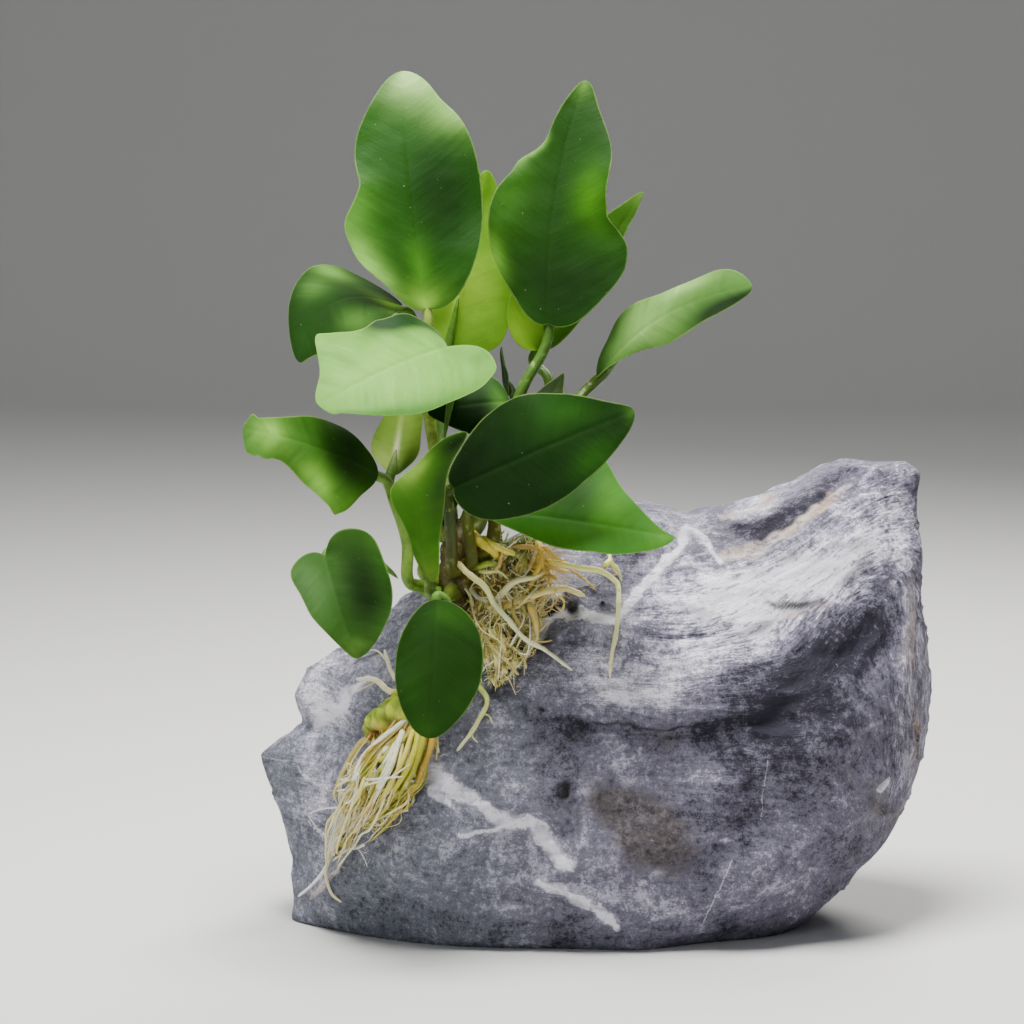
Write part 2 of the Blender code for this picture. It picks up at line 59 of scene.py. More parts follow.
LIGHTS = (  # name, place, aim, size in mm, power in W, colour
    ("overhead", (-60, -80, 540), (-10, 0, 70), 260, 7.5, (1, 0.99, 0.96)),
    ("front_fill", (-420, -720, 420), (-10, 0, 90), 420, 1.2, (0.94, 0.97, 1)),
    ("back_rim", (160, 330, 420), (-20, 0, 120), 260, 3.0, (1, 0.98, 0.92)),
)
WORLD_COLOUR, WORLD_STRENGTH = (0.9, 0.93, 1), 0.1


def grid_faces(rows, columns, wrap=False):
    """The quads of a grid of points numbered row by row; wrapped, its last column meets its first."""
    corner = np.arange(rows * columns).reshape(rows, columns)
    if wrap:
        corner = np.concatenate([corner, corner[:, :1]], 1)
    corners = (corner[:-1, :-1], corner[:-1, 1:], corner[1:, 1:], corner[1:, :-1])
    return np.stack(corners, -1).reshape(-1, 4)


bend = np.linspace(0, math.pi / 2, SWEEP_POINTS)
wall_y = FLOOR_BACK + FLOOR_SWEEP
floor_x = [-FLOOR_HALF_WIDTH, FLOOR_HALF_WIDTH]
floor_y = np.concatenate([[FLOOR_FRONT], FLOOR_BACK + FLOOR_SWEEP * np.sin(bend), [wall_y]])
floor_z = np.concatenate([[0], FLOOR_SWEEP * (1 - np.cos(bend)), [WALL_HEIGHT]])
floor_grid = np.stack(np.broadcast_arrays(floor_x, floor_y[:, None], floor_z[:, None]), -1)
floor_faces = grid_faces(len(floor_y), len(floor_x))
floor_mesh = bpy.data.meshes.new("floor")
floor_mesh.from_pydata((floor_grid.reshape(-1, 3) * MM).tolist(), [], floor_faces.tolist())
floor_mesh.shade_smooth()
floor_material = bpy.data.materials.new("pale_floor")
floor_material.use_nodes = True
floor_shader = floor_material.node_tree.nodes["Principled BSDF"]
floor_shader.inputs["Base Color"].default_value = (*FLOOR_COLOUR, 1)
floor_shader.inputs["Roughness"].default_value = 0.9
floor_mesh.materials.append(floor_material)
floor = bpy.data.objects.new("floor", floor_mesh)
bpy.context.scene.collection.objects.link(floor)

camera_data = bpy.data.cameras.new("camera")
camera_data.lens = CAMERA_LENS
camera_data.sensor_width = CAMERA_SENSOR
camera_data.clip_start = 0.05
camera = bpy.data.objects.new("camera", camera_data)
camera.location = np.array(CAMERA_PLACE) * MM
camera.rotation_euler = (math.radians(90 - CAMERA_PITCH), 0, 0)
bpy.context.scene.collection.objects.link(camera)
bpy.context.scene.camera = camera

for name, place, aim, size, power, colour in LIGHTS:
    light_data = bpy.data.lights.new(name, "AREA")
    light_data.shape = "DISK"
    light_data.size = size * MM
    light_data.energy = power
    light_data.color = colour
    light = bpy.data.objects.new(name, light_data)
    light.location = np.array(place) * MM
    light.rotation_euler = Vector(np.subtract(aim, place)).to_track_quat("-Z", "Y").to_euler()
    bpy.context.scene.collection.objects.link(light)

world = bpy.data.worlds.new("pale_room")
world.use_nodes = True
world.node_tree.nodes["Background"].inputs["Color"].default_value = (*WORLD_COLOUR, 1)
world.node_tree.nodes["Background"].inputs["Strength"].default_value = WORLD_STRENGTH
bpy.context.scene.world = world

# ---- stone -------------------------------------------------------------------------------------
# A broken boulder of blue-grey limestone, split along its bedding and rolled a little round, with
# calcite healed into its cracks. It stands on the flat that it is cut to.
STONE_AXIS = (2.0, 42.0)  # x and z of the line that the outline and the rings go round
STONE_OUTLINE = (  # x, z of its silhouette from the front
    (-62, 0), (-62.5, 12), (-65.6, 25.6), (-68.4, 32.7), (-65, 36.4), (-60.4, 38.6), (-61.8, 44.8),
    (-58, 50), (-47, 57.2), (-40, 63), (-32, 68), (-20, 74), (-8, 79), (2, 81.6), (8, 83.2),
    (13, 82.8), (18, 81.2), (25, 82.4), (32, 84.2), (40, 87), (46, 90.4), (50.4, 91.4), (56, 90.2),
    (61.5, 90.8), (64.6, 89), (65, 80), (64.8, 64), (67, 46), (66.4, 38), (63, 25.6), (56.5, 15),
    (48.5, 6), (39, -1), (24, -8), (0, -11), (-30, -10), (-55, -7),
)
STONE_FRONT, STONE_BACK = 33.0, 34.0  # how far the faces stand before and behind the rim
RIM_LEAN = 0.15  # how far the rim leans back for each mm of height
# the bevels that cut the faces into facets, each falling away from a line: x and z of a point on
# it, the way down from it in x and z, the fall for each mm, and the width it is rounded in over
FRONT_BEVELS = (
    ((-12, 0), (-1, 0), 0.22, 4), ((-38, 0), (-1, 0), 0.5, 3), ((-47, 50), (-0.55, 0.83), 0.45, 1.5),
    ((46, 0), (1, 0), 0.18, 5), ((0, 14), (0, -1), 0.3, 4), ((0, 56), (0, 1), 0.25, 3),
    ((6, 60), (0.4, 0.92), 0.3, 3), ((28, 24), (0.7, -0.7), 0.22, 3),
)
BACK_BEVELS = (
    ((0, 52), (0.1, 1), 0.3, 4), ((-20, 0), (-1, 0.1), 0.25, 3), ((24, 40), (0.9, 0.3), 0.15, 3),
    ((-5, 22), (-0.4, -0.9), 0.2, 3),
)
CHANNEL_TOP, CHANNEL_FALL = (-34.0, 35.0), (-0.69, -0.724)  # the channel that the lower roots lie in
LOBE_RISE = 5.0
LEDGE = ((-14, 49.5), (-10, 47.8), (-0.6, 45.2), (10, 44.5), (19, 45.4), (30, 46.6), (36, 49.5))
LEDGE_DEPTH, LEDGE_SHARP, LEDGE_FADE = 3.0, 0.8, 8
CREST = ((20, 57), (24, 59), (38, 65), (51, 71), (60, 74))
CREST_DEPTH, CREST_SHARP, CREST_FADE = 3.2, 1.2, 9
HOLLOWS, HOLLOW_SIZE = 150, 8.5  # the dishes that flakes left, large ones, then small ones
CHIPS, CHIP_SIZE = 700, 4
SIDE_BED = 60  # how fast the bedding runs across the right side, where it stands on end
STONE_TURNS, STONE_FRONT_RINGS, STONE_BACK_RINGS = 560, 118, 46

# the veins and marks on the front, as x and z along each
CALCITE = (  # white veins: line, half width at its start and end
    (((-36, 36.8), (-32.5, 34.4), (-28.5, 31.8)), 2.6, 1.9),
    (((-28.5, 31.8), (-24.5, 29.8), (-21, 27.6), (-18.2, 25.9)), 1.6, 1.0),
    (((-33.5, 31.5), (-29, 28.5)), 0.9, 0.5),
    (((-28, 23.9), (-21.7, 24), (-18.2, 25.9)), 0.45, 0.6),
    (((-18.2, 25.9), (-15, 26.2)), 1.2, 1.3),
    (((-14.4, 26.6), (-10.5, 22.6), (-7, 18.9)), 1.3, 1.7),
    (((-12, 14.2), (-6.4, 12), (-3.4, 10.4)), 0.9, 1.3),
    (((-1.6, 9.2), (2.6, 5.6)), 1.0, 0.8),
    (((-68.7, 31.8), (-62, 32.1), (-54.1, 28)), 0.9, 0.4),
    (((-58.1, 37.8), (-50.4, 46.7), (-45.6, 50.6)), 0.9, 0.6),
    (((-64.8, 25.9), (-54.8, 18.4)), 0.5, 0.4),
    (((17.2, 79.8), (15.8, 76.3), (11.8, 73), (7.4, 69.1), (5.4, 66.8), (2.6, 64.5)), 1.0, 0.8),
    (((2.6, 64.5), (-0.9, 64.3), (-5, 65.2), (-8.2, 64.7), (-10.7, 63), (-12.9, 60.8)), 1.0, 1.2),
    (((-9, 68.5), (-11.5, 70), (-12.6, 72)), 1.4, 1.6),
    (((55.2, 30.5), (56.2, 32)), 0.7, 0.5),
    (((17.4, 80.4), (20, 77.2), (23.6, 74.8)), 0.7, 0.5),
)
CREAM = (  # cream veins
    (((17.2, 79.6), (16, 76.5), (12, 73), (7.4, 69.1), (5.4, 66.8), (2.6, 64.5)), 0.35, 0.25),
    (((23.9, 75.6), (30.5, 76.3), (36.2, 79), (40.3, 81.4), (45.8, 85), (50.6, 88.8), (54.5, 91.4)),
     0.8, 1.7),
    (((24, 80.8), (29.9, 82.9), (35.5, 84.8)), 0.9, 0.8),
    (((-62.3, 1.3), (-56.7, 8.3), (-52.1, 14)), 1.0, 0.5),
)
# the pits are sunk a little and painted near-black, as the shade inside them
PITS = (  # x, z and size of the small holes
    (-5.8, 66.4, 1.3), (-0.1, 66.6, 0.5), (-13.3, 65.4, 0.6), (-9, 65.9, 0.6), (-10, 65.1, 0.6),
    (-8, 66.8, 0.5), (-12, 47.5, 0.45), (-7.6, 33.4, 0.9), (-7.5, 31.8, 0.7),
)
# the open cracks are painted near-black, as the shade inside them
CRACKS = (  # dark splits, half open: line, half width at its start and end
    (((-1.4, 45.6), (3, 45.5), (6.4, 44.6), (10, 44.3)), 0.55, 0.35),
    (((10, 44.4), (15, 44.9), (21, 45.4)), 0.3, 0.15),
    (((-11.9, 64), (-9.8, 65.8), (-7.4, 67.8)), 0.7, 0.45),
    (((-8.4, 33.8), (-8, 30.6)), 0.8, 0.4),
    (((32.5, 66.5), (35.3, 65.8), (38.8, 65.9), (43.3, 67)), 0.5, 0.9),
    (((32, 79), (35.9, 80.3), (39.4, 82.3), (43.1, 85.4), (46, 87.6)), 0.2, 0.35),
    (((-49.6, 53.4), (-46, 55.8), (-43.6, 56.4)), 0.4, 0.3),
    (((51.4, 84.4), (56, 80), (58, 74)), 0.4, 0.3),
)
HAIR_VEINS = (  # hair-thin healed cracks across the front: start, end, half width, strength
    ((32, 39), (30.5, 25.5), 0.16, 0.35),
    ((25, 19), (19.5, 5), 0.18, 0.7),
    ((-57.5, 24.5), (-54.5, 19.5), 0.2, 0.7),
    ((-68.5, 32), (-62, 32.5), 0.2, 0.5),
    ((-47.5, 53), (-54, 44), 0.2, 0.55),
    ((-54, 44), (-62.5, 37.5), 0.22, 0.55),
)
BACK_VEINS = (  # the sheets of calcite seen behind: way across it, how far along that way, half width
    ((0.55, 0.25, 0.8), 44, 1.3), ((0.86, -0.1, -0.5), 8, 0.9), ((-0.3, 0.35, 0.89), 32, 0.7),
    ((0.97, 0.2, 0.15), 46, 0.6),
)
# patches on the front: x and z of the middle, size along and across, lean in degrees, and strength;
# the lights are partly the rock's own pale tones and partly painted light on the top-lit upper slab,
# the darks partly its own dark tones and partly painted shade under the crest, beside the ridge vein
# and along the foot
TONES_AND_PAINTED_LIGHT = (  # lights, and darks below nought
    (37, 71, 18, 5, 12, 0.66), (-52, 44.4, 9, 1.6, 42, 0.34), (33, 62.5, 17, 3.6, 18, 0.52),
    (24, 57, 12, 3.2, 10, 0.28), (52, 82, 12, 7, 55, 0.3), (20, 67, 16, 6, 10, 0.24),
    (12, 81, 9, 2, -8, 0.28), (8, 50.5, 11, 3, -4, 0.44), (-57, 46, 8, 9, 40, 0.32),
    (-56, 26, 7, 14, 0, 0.14), (-47, 60, 14, 7, 38, 0.28), (60, 72, 3, 16, 0, 0.22),
    (62, 45, 3.5, 22, -6, 0.22), (28, 79.6, 5, 1.8, 3, -0.34), (36, 81.6, 6, 1.8, 32, -0.42),
    (45, 88, 6, 2.2, 42, -0.42), (30, 83, 7, 1.5, 16, 0.36), (6, 75.5, 8, 3.6, 30, -0.3),
    (47, 58, 14, 5.5, 24, -0.36), (38, 42, 18, 10, 12, -0.34), (-7, 43, 6, 5, 0, -0.16),
    (-6, 51.5, 6, 4, 0, -0.1), (-62, 30, 5, 4, 0, -0.14), (-60, 12, 4, 9, 0, -0.1),
    (0, 4, 60, 5, 0, -0.18), (-8, 28, 4, 9, 0, -0.1), (14, 21, 10, 4, -20, -0.1),
    (52, 19, 12, 8, 40, -0.2), (-14, 58, 8, 12, 0, -0.08), (26, 27, 9, 6, 0, -0.2),
    (9, 36, 14, 5, 0, 0.08), (-1, 57.5, 7, 6, 10, 0.2), (-22, 18, 14, 10, 0, 0.08),
    (-3.6, 31.5, 2, 1.6, 0, 0.3), (-3, 27, 1.2, 4, 0, 0.18), (24, 23.1, 1.8, 0.7, 15, 0.34),
    (32.5, 27.5, 2, 0.7, -10, 0.3), (10.4, 15.9, 2.6, 0.8, 20, 0.3), (16, 9, 9, 1.2, 12, 0.1),
)
BEDDED = (  # where the bedding shows as streaks
    (42, 68, 26, 12, 18, 1.0), (58, 84, 12, 8, 0, 0.6), (20, 66, 14, 8, 10, 0.7),
    (62, 45, 5, 26, -6, 0.9), (-56, 48, 8, 12, 30, 0.4), (8, 51, 14, 3, 0, 0.5),
    (-58, 24, 6, 14, 0, 0.3), (30, 34, 24, 14, 0, 0.22),
)
BROWN_STAINS = (
    (4, 29, 7, 4.5, -10, 1.0), (10, 22, 8, 5.5, -35, 1.1), (12, 43, 5, 2.5, -80, 0.5),
    (63, 42, 2.6, 20, -4, 0.5), (56, 26, 3, 12, 38, 0.6), (-6, 42, 3, 2, 0, 0.5),
    (37.5, 66, 5.5, 0.8, 2, 0.9),
)
RUST_STAINS = (
    (34, 84.4, 3.5, 0.8, 18, 0.9), (45.5, 84.4, 4, 1.0, 38, 0.8), (62.5, 58, 1.4, 12, 0, 0.5),
    (63.5, 40, 1.4, 9, -4, 0.5), (38, 64.5, 5, 0.6, 3, 0.8), (45, 86, 7, 0.8, 48, 0.5),
    (12, 22, 6, 4, -30, 0.35),
)
CREAM_STAINS = (
    (5, 51.5, 12, 2.6, 0, 0.6), (-1, 58, 7, 5, 10, 0.5), (61.5, 60, 2.6, 20, 0, 0.75),
    (30, 76.5, 10, 1.6, 14, 0.7), (44, 66, 8, 1.2, 14, 0.7),
)
STONE_SLATE, STONE_SLATE_LEFT = (106, 103, 117), (112, 116, 124)
STONE_DARK, STONE_PALE, STONE_WHITE = (40, 38, 50), (176, 174, 188), (240, 237, 241)
STAIN_BROWN, STAIN_SAND, STAIN_SOOT = (72, 66, 60), (120, 110, 96), (38, 36, 34)
CREAM_TONE, CREAM_BROWN, RUST_TONE = (222, 208, 192), (182, 154, 122), (176, 140, 108)
CALCITE_TONE, HAIR_TONE, FLECK_TONE = (236, 235, 241), (206, 206, 214), (206, 206, 216)
# near-black painted shade for the insides of the pits and open cracks
HOLE_SHADE_TONE = (20, 19, 24)
STONE_LIFT = (1.07, 1.06, 1.13)  # how much lighter and bluer than its tones the whole stone is
STONE_MIDDLE_LIGHT = 0.48  # between the dark tone and the pale one, where nothing shades it
RIM_SHARE = 0.94  # the front's last rings, from this share of the way out, crowd towards the rim
RIM_RINGS = 16
PIT_DEPTH = 1.2
OFF_VEIN = 9.0  # half widths from a vein that count as far away


def lattice_noise(points, size, seed):
    """Smooth noise between about -1 and 1, with bumps of that size.

    Each corner of a cubic lattice has a fixed random slope; the eight slopes round a point are
    blended by 6t^5 - 15t^4 + 10t^3 along each axis.
    """
    slopes = np.random.default_rng(seed).normal(size=(256, 3))
    slopes /= np.linalg.norm(slopes, axis=1, keepdims=True)
    place = np.asarray(points, float) / size + seed * 7.31
    cell = np.floor(place).astype(np.int64)
    part = place - cell
    eased = part**3 * (part * (part * 6 - 15) + 10)
    total = np.zeros(part.shape[:-1])
    for corner in itertools.product((0, 1), repeat=3):
        x, y, z = np.moveaxis(cell + corner, -1, 0)
        pick = (x * 73856093 ^ y * 19349663 ^ z * 83492791) >> 3 & 255
        share = np.prod(np.where(corner, eased, 1 - eased), axis=-1)
        total += share * np.sum(slopes[pick] * (part - corner), axis=-1)
    return total * 1.6


def layered_noise(points, size, layers, seed):
    """Noise of that size plus noise of half the size and half the height, and so on."""
    return sum(lattice_noise(points, size / 2**k, seed + k) / 2**k for k in range(layers))


def ramp(value, width):
    """Nought below zero and the value above it, rounded over width."""
    return (value + np.sqrt(value * value + width * width)) / 2


def step(value, width):
    """From nought well below zero to one well above it, as 1 / (1 + exp(-value / width))."""
    return 1 / (1 + np.exp(-np.clip(value / width, -40, 40)))


def outline_radius(angle):
    """How far the outline lies from the stone's axis at that angle, straight between its points."""
    x, z = (np.array(STONE_OUTLINE) - STONE_AXIS).T
    turn, reach = np.arctan2(z, x), np.hypot(x, z)
    order = np.argsort(turn)
    return np.interp(angle, turn[order], reach[order], period=2 * math.pi)


def edge_share(x, z):
    """How far out (x, z) lies from the stone's axis, as a share of the outline's reach that way."""
    dx, dz = x - STONE_AXIS[0], z - STONE_AXIS[1]
    return np.hypot(dx, dz) / outline_radius(np.arctan2(dz, dx))


def bevelled(depth, x, z, bevels):
    """The depth less what each bevel takes away, its fall times how far (x, z) lies past its line."""
    for (start_x, start_z), (way_x, way_z), fall, width in bevels:
        depth = depth - fall * ramp((x - start_x) * way_x + (z - start_z) * way_z, width)
    return depth


def undercut(x, z, edge, sharp, fade):
    """One just below the edge, falling away beneath it, and nought above it and beyond its ends."""
    below = np.interp(x, *np.array(edge).T) - z
    inside = step(x - edge[0][0], 2) * step(edge[-1][0] - x, 2)
    return step(below, sharp) * np.exp(-ramp(below, 2) / fade) * inside


def stone_front(x, z):
    """y of the front: its bevelled depth times the root of 1 less the edge share to the sixth."""
    depth = bevelled(STONE_FRONT, x, z, FRONT_BEVELS)
    right_of = (z - CHANNEL_TOP[1]) * CHANNEL_FALL[0] - (x - CHANNEL_TOP[0]) * CHANNEL_FALL[1]
    depth += LOBE_RISE * step(right_of, 1.3) * np.exp(-ramp(right_of, 4) / 18) * step(39 - z, 3)
    depth -= LEDGE_DEPTH * undercut(x, z, LEDGE, LEDGE_SHARP, LEDGE_FADE)
    depth -= CREST_DEPTH * undercut(x, z, CREST, CREST_SHARP, CREST_FADE)
    depth += 0.9 * np.sin(0.21 * x + 0.13 * z) + 0.7 * np.sin(0.17 * x - 0.31 * z + 1)
    drop = np.sqrt(np.clip(1 - edge_share(x, z) ** 6, 0, 1))
    return RIM_LEAN * (z - STONE_AXIS[1]) - depth * drop


def stone_back(x, z):
    """y of the back: its bevelled depth times the root of 1 less the edge share to the fifth."""
    depth = bevelled(STONE_BACK, x, z, BACK_BEVELS) + 1.2 * np.sin(0.11 * x + 0.17 * z)
    return RIM_LEAN * (z - STONE_AXIS[1]) + depth * np.sqrt(np.clip(1 - edge_share(x, z) ** 5, 0, 1))


def grid_normals(grid):
    """The unit normals of a grid that closes on itself in its second direction."""
    down = np.gradient(grid, axis=0)
    round_it = (np.roll(grid, -1, 1) - np.roll(grid, 1, 1)) / 2
    normal = np.cross(down, round_it)
    return normal / np.maximum(np.linalg.norm(normal, axis=-1, keepdims=True), 1e-9)


def near_line(x, z, line, first, last):
    """Distance from (x, z) to the nearest point of the line, over its half width there."""
    nearest = np.full(np.shape(x), OFF_VEIN)
    widths = np.linspace(first, last, len(line))
    for (ax, az), (bx, bz), a_width, b_width in zip(line, line[1:], widths, widths[1:]):
        way_x, way_z = bx - ax, bz - az
        share = np.clip(((x - ax) * way_x + (z - az) * way_z) / (way_x**2 + way_z**2), 0, 1)
        away = np.hypot(x - ax - share * way_x, z - az - share * way_z)
        nearest = np.minimum(nearest, away / (a_width + (b_width - a_width) * share))
    return nearest


def spot(x, z, centre, size_x, size_z, lean=0.0):
    """One at the centre, falling off as a bell over its two sizes, leaning by the angle in degrees."""
    c, s = math.cos(math.radians(lean)), math.sin(math.radians(lean))
    along = (x - centre[0]) * c + (z - centre[1]) * s
    across = (z - centre[1]) * c - (x - centre[0]) * s
    return np.exp(-((along / size_x) ** 2) - (across / size_z) ** 2)


VALUE_KINDS = {  # kind and field of a point's own value, by how many numbers it has
    4: ("FLOAT_COLOR", "color"), 3: ("FLOAT_VECTOR", "vector"), 1: ("FLOAT", "value"),
}


def add_piece(name, points, faces, material, nodes, values):
    """A closed, smooth-shaded piece from points in mm, facing out, with its per-point values."""
    mesh = bpy.data.meshes.new(name)
    mesh.from_pydata((points.reshape(-1, 3) * MM).tolist(), [], faces.tolist())
    for value_name, value in values.items():
        flat = np.asarray(value, np.float32)
        kind, field = VALUE_KINDS[flat.shape[-1] if flat.ndim == points.ndim else 1]
        mesh.attributes.new(value_name, kind, "POINT").data.foreach_set(field, flat.ravel())
    shell = bmesh.new()
    shell.from_mesh(mesh)
    bmesh.ops.remove_doubles(shell, verts=shell.verts, dist=2e-7)
    bmesh.ops.recalc_face_normals(shell, faces=shell.faces)
    shell.to_mesh(mesh)
    shell.free()
    mesh.shade_smooth()
    mesh.materials.append(material)
    piece = bpy.data.objects.new(name, mesh)
    bpy.context.scene.collection.objects.link(piece)
    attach(piece, "root")
    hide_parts(*nodes)
    return piece


class Wire:
    """A shader socket that can be reckoned with: each operation on it adds a Math node."""

    def __init__(self, tree, link):
        self.tree = tree
        self.link = link

    def node(self, kind, values, output=0, **settings):
        """A node of the kind: its settings first, then a value or a link on each socket."""
        made = self.tree.nodes.new(kind)
        for setting, value in settings.items():
            setattr(made, setting, value)
        for socket, value in values.items():
            if isinstance(value, Wire):
                self.tree.links.new(value.link, made.inputs[socket])
            else:
                made.inputs[socket].default_value = value
        return Wire(self.tree, made.outputs[output])

    def maths(self, operation, *values):
        """The operation on those values, in a node of its own."""
        return self.node("ShaderNodeMath", dict(enumerate(values)), operation=operation)

    def __add__(self, other):
        return self.maths("ADD", self, other)

    __radd__ = __add__

    def __sub__(self, other):
        return self.maths("SUBTRACT", self, other)

    def __rsub__(self, other):
        return self.maths("SUBTRACT", other, self)

    def __mul__(self, other):
        return self.maths("MULTIPLY", self, other)

    __rmul__ = __mul__

    def rise(self, low, high):
        """Nought below low and one above high, smoothly between; low may be the larger."""
        values = {"Value": self, "From Min": low, "From Max": high, "To Min": 0.0, "To Max": 1.0}
        return self.node("ShaderNodeMapRange", values, interpolation_type="SMOOTHSTEP")

    def noise(self, scale, detail=3.0, rough=0.55, twist=0.0):
        """Noise from 0 to 1 at this place, with that many bumps to the unit of length."""
        values = {
            "Vector": self, "Scale": scale, "Detail": detail, "Roughness": rough, "Distortion": twist,
        }
        return self.node("ShaderNodeTexNoise", values)

    def contour(self, width):
        """One along the lines where this noise crosses its middle, fading out over width."""
        away = self - 0.5
        return away.maths("ABSOLUTE", away).rise(width, width * 0.2)

    def times(self, factors):
        """This vector or colour, each of its three values times its factor."""
        return self.node("ShaderNodeVectorMath", {0: self, 1: factors}, operation="MULTIPLY")

    def mixed(self, colour, share):
        """This colour with the other laid over it by its share."""
        colour = colour if isinstance(colour, Wire) else (*colour, 1)
        return self.node("ShaderNodeMix", {0: share, 6: self, 7: colour}, output=2, data_type="RGBA")


def tone(red, green, blue):
    """A linear colour from the eight-bit values that a screen shows it with."""
    share = np.array([red, green, blue]) / 255
    return tuple(np.where(share < 0.04045, share / 12.92, ((share + 0.055) / 1.055) ** 2.4).tolist())


def new_material(name, specular=0.5):
    """A material, its Principled shader, a source of wires into it, and the place on the piece."""
    material = bpy.data.materials.new(name)
    material.use_nodes = True
    shader = material.node_tree.nodes["Principled BSDF"]
    shader.inputs["Specular IOR Level"].default_value = specular
    wire = Wire(material.node_tree, None)
    return material, shader, wire, wire.node("ShaderNodeTexCoord", {}, output=3)


def attribute(source, name, output=2):
    """The piece's own value of that name: output 0 for a colour, 1 for a vector, 2 for a number."""
    return source.node("ShaderNodeAttribute", {}, output=output, attribute_name=name)


def surface(source, shader, colour, roughness, height, depth):
    """Connects the colour, the roughness and the relief, whose height of one stands that many mm."""
    links = source.tree.links
    links.new(colour.link, shader.inputs["Base Color"])
    links.new(roughness.link, shader.inputs["Roughness"])
    bump = source.node("ShaderNodeBump", {"Height": height, "Strength": 1.0, "Distance": depth * MM})
    links.new(bump.link, shader.inputs["Normal"])


limestone, limestone_shader, wire, place = new_material("veined_limestone", 0.3)
grain = attribute(wire, "grain", 1)
dust = place.noise(2600.0, 4.0, 0.7)
speckle = place.noise(900.0, 5.0, 0.7)
mottle = place.noise(270.0, 5.0, 0.65, 0.5)
clouds = place.noise(75.0, 4.0, 0.6, 0.8)
streaks = grain.times((0.15, 1.0, 0.2)).noise(1.0, 5.0, 0.66, 0.4)
hatching = grain.times((0.45, 3.2, 0.6)).noise(1.0, 4.0, 0.7, 0.3)
chips = place.times((1.0, 1.0, 1.5)).noise(640.0, 6.0, 0.75, 1.2)
bedded = attribute(wire, "bedded")
bed_lines = grain.times((0.05, 0.7, 0.1)).noise(1.0, 3.0, 0.6, 0.3).contour(0.035)
shade = attribute(wire, "light") + (streaks - 0.5) * (bedded * 1.8 + 0.06)
shade = shade + (hatching - 0.5) * (bedded * 1.2 + 0.1)
shade = shade + (mottle - 0.5) * 1.0 + (clouds - 0.5) * 0.9 + (speckle - 0.5) * 1.2 + (dust - 0.5) * 0.9
shade = shade - bed_lines * (bedded * 0.3 + 0.01)
stone_colour = attribute(wire, "slate", 0).mixed(tone(*STONE_DARK), shade.rise(0.46, -0.06))
stone_colour = stone_colour.mixed(tone(*STONE_PALE), shade.rise(0.44, 0.84))
stone_colour = stone_colour.mixed(tone(*STONE_WHITE), shade.rise(0.76, 1.1))
ragged = (mottle - 0.5) * 3.0 + (speckle - 0.5) * 2.2 + (dust - 0.5)
brown_share = (attribute(wire, "brown") + ragged * 0.42).rise(0.2, 0.8)
stone_colour = stone_colour.mixed(tone(*STAIN_BROWN), brown_share * 0.7)
stone_colour = stone_colour.mixed(tone(*STAIN_SAND), brown_share * speckle.rise(0.48, 0.64) * 0.4)
stone_colour = stone_colour.mixed(tone(*STAIN_SOOT), brown_share * speckle.rise(0.47, 0.36) * 0.6)
cream_share = (attribute(wire, "cream") + ragged * 0.5).rise(1.3, 0.6)
cream_cover = speckle.rise(0.34, 0.58) * 0.4 + mottle.rise(0.4, 0.56) * 0.5
stone_colour = stone_colour.mixed(tone(*CREAM_TONE), cream_share * cream_cover)
stone_colour = stone_colour.mixed(tone(*CREAM_BROWN), cream_share * mottle.rise(0.5, 0.62) * 0.5)
rust_share = (attribute(wire, "rust") + ragged * 0.35).rise(0.35, 0.8)
stone_colour = stone_colour.mixed(tone(*RUST_TONE), rust_share * 0.7)
calcite_share = (attribute(wire, "calcite") + ragged * 0.95).rise(1.3, 0.6)
calcite_cover = mottle.rise(0.36, 0.54) * 0.5 + 0.48
stone_colour = stone_colour.mixed(tone(*CALCITE_TONE), calcite_share * calcite_cover)
place_x, place_z = (place.node("ShaderNodeSeparateXYZ", {0: place}, output) for output in (0, 2))
on_front = attribute(wire, "front")
for start, end, half_width, strength in HAIR_VEINS:
    length = math.dist(start, end)
    way_x, way_z = (end[0] - start[0]) / length, (end[1] - start[1]) / length
    from_x, from_z = place_x * (1 / MM) - start[0], place_z * (1 / MM) - start[1]
    along = from_x * way_x + from_z * way_z
    across = from_z * way_x - from_x * way_z + (mottle - 0.5) * 1.6
    hair = across.maths("ABSOLUTE", across).rise(half_width, half_width * 0.3) * along.rise(-0.5, 1.0)
    hair = hair * along.rise(length + 0.5, length - 1.0) * speckle.rise(0.4, 0.5) * on_front
    stone_colour = stone_colour.mixed(tone(*HAIR_TONE), hair * strength)
flecks = (chips + (clouds - 0.5) * 0.5).rise(0.65, 0.74)
stone_colour = stone_colour.mixed(tone(*FLECK_TONE), flecks * 0.5)
# painted shade, near-black, in the pits and open cracks
stone_colour = stone_colour.times(STONE_LIFT).mixed(tone(*HOLE_SHADE_TONE), attribute(wire, "hole_shade"))
stone_height = streaks * 0.6 + hatching * 0.5 + mottle * 1.1 + speckle * 0.8 + dust * 0.25
stone_height = stone_height + calcite_share * 0.1
surface(wire, limestone_shader, stone_colour, shade * -0.12 + 0.76, stone_height, 0.6)


def dishes(points, count, size, seed):
    """Shallow hollows side by side with sharp edges between, as where flakes broke off.

    Each is deepest at one of the points, picked at random, and rises with the square of the distance
    from it, up to where the next begins.
    """
    dice = np.random.default_rng(seed)
    least = np.full(points.shape[:-1], np.inf)
    for middle in points.reshape(-1, 3)[dice.integers(0, points[..., 0].size, count)]:
        least = np.minimum(least, np.sum((points - middle) ** 2, -1))
    return np.minimum(least / size**2, 1.6) - 0.5


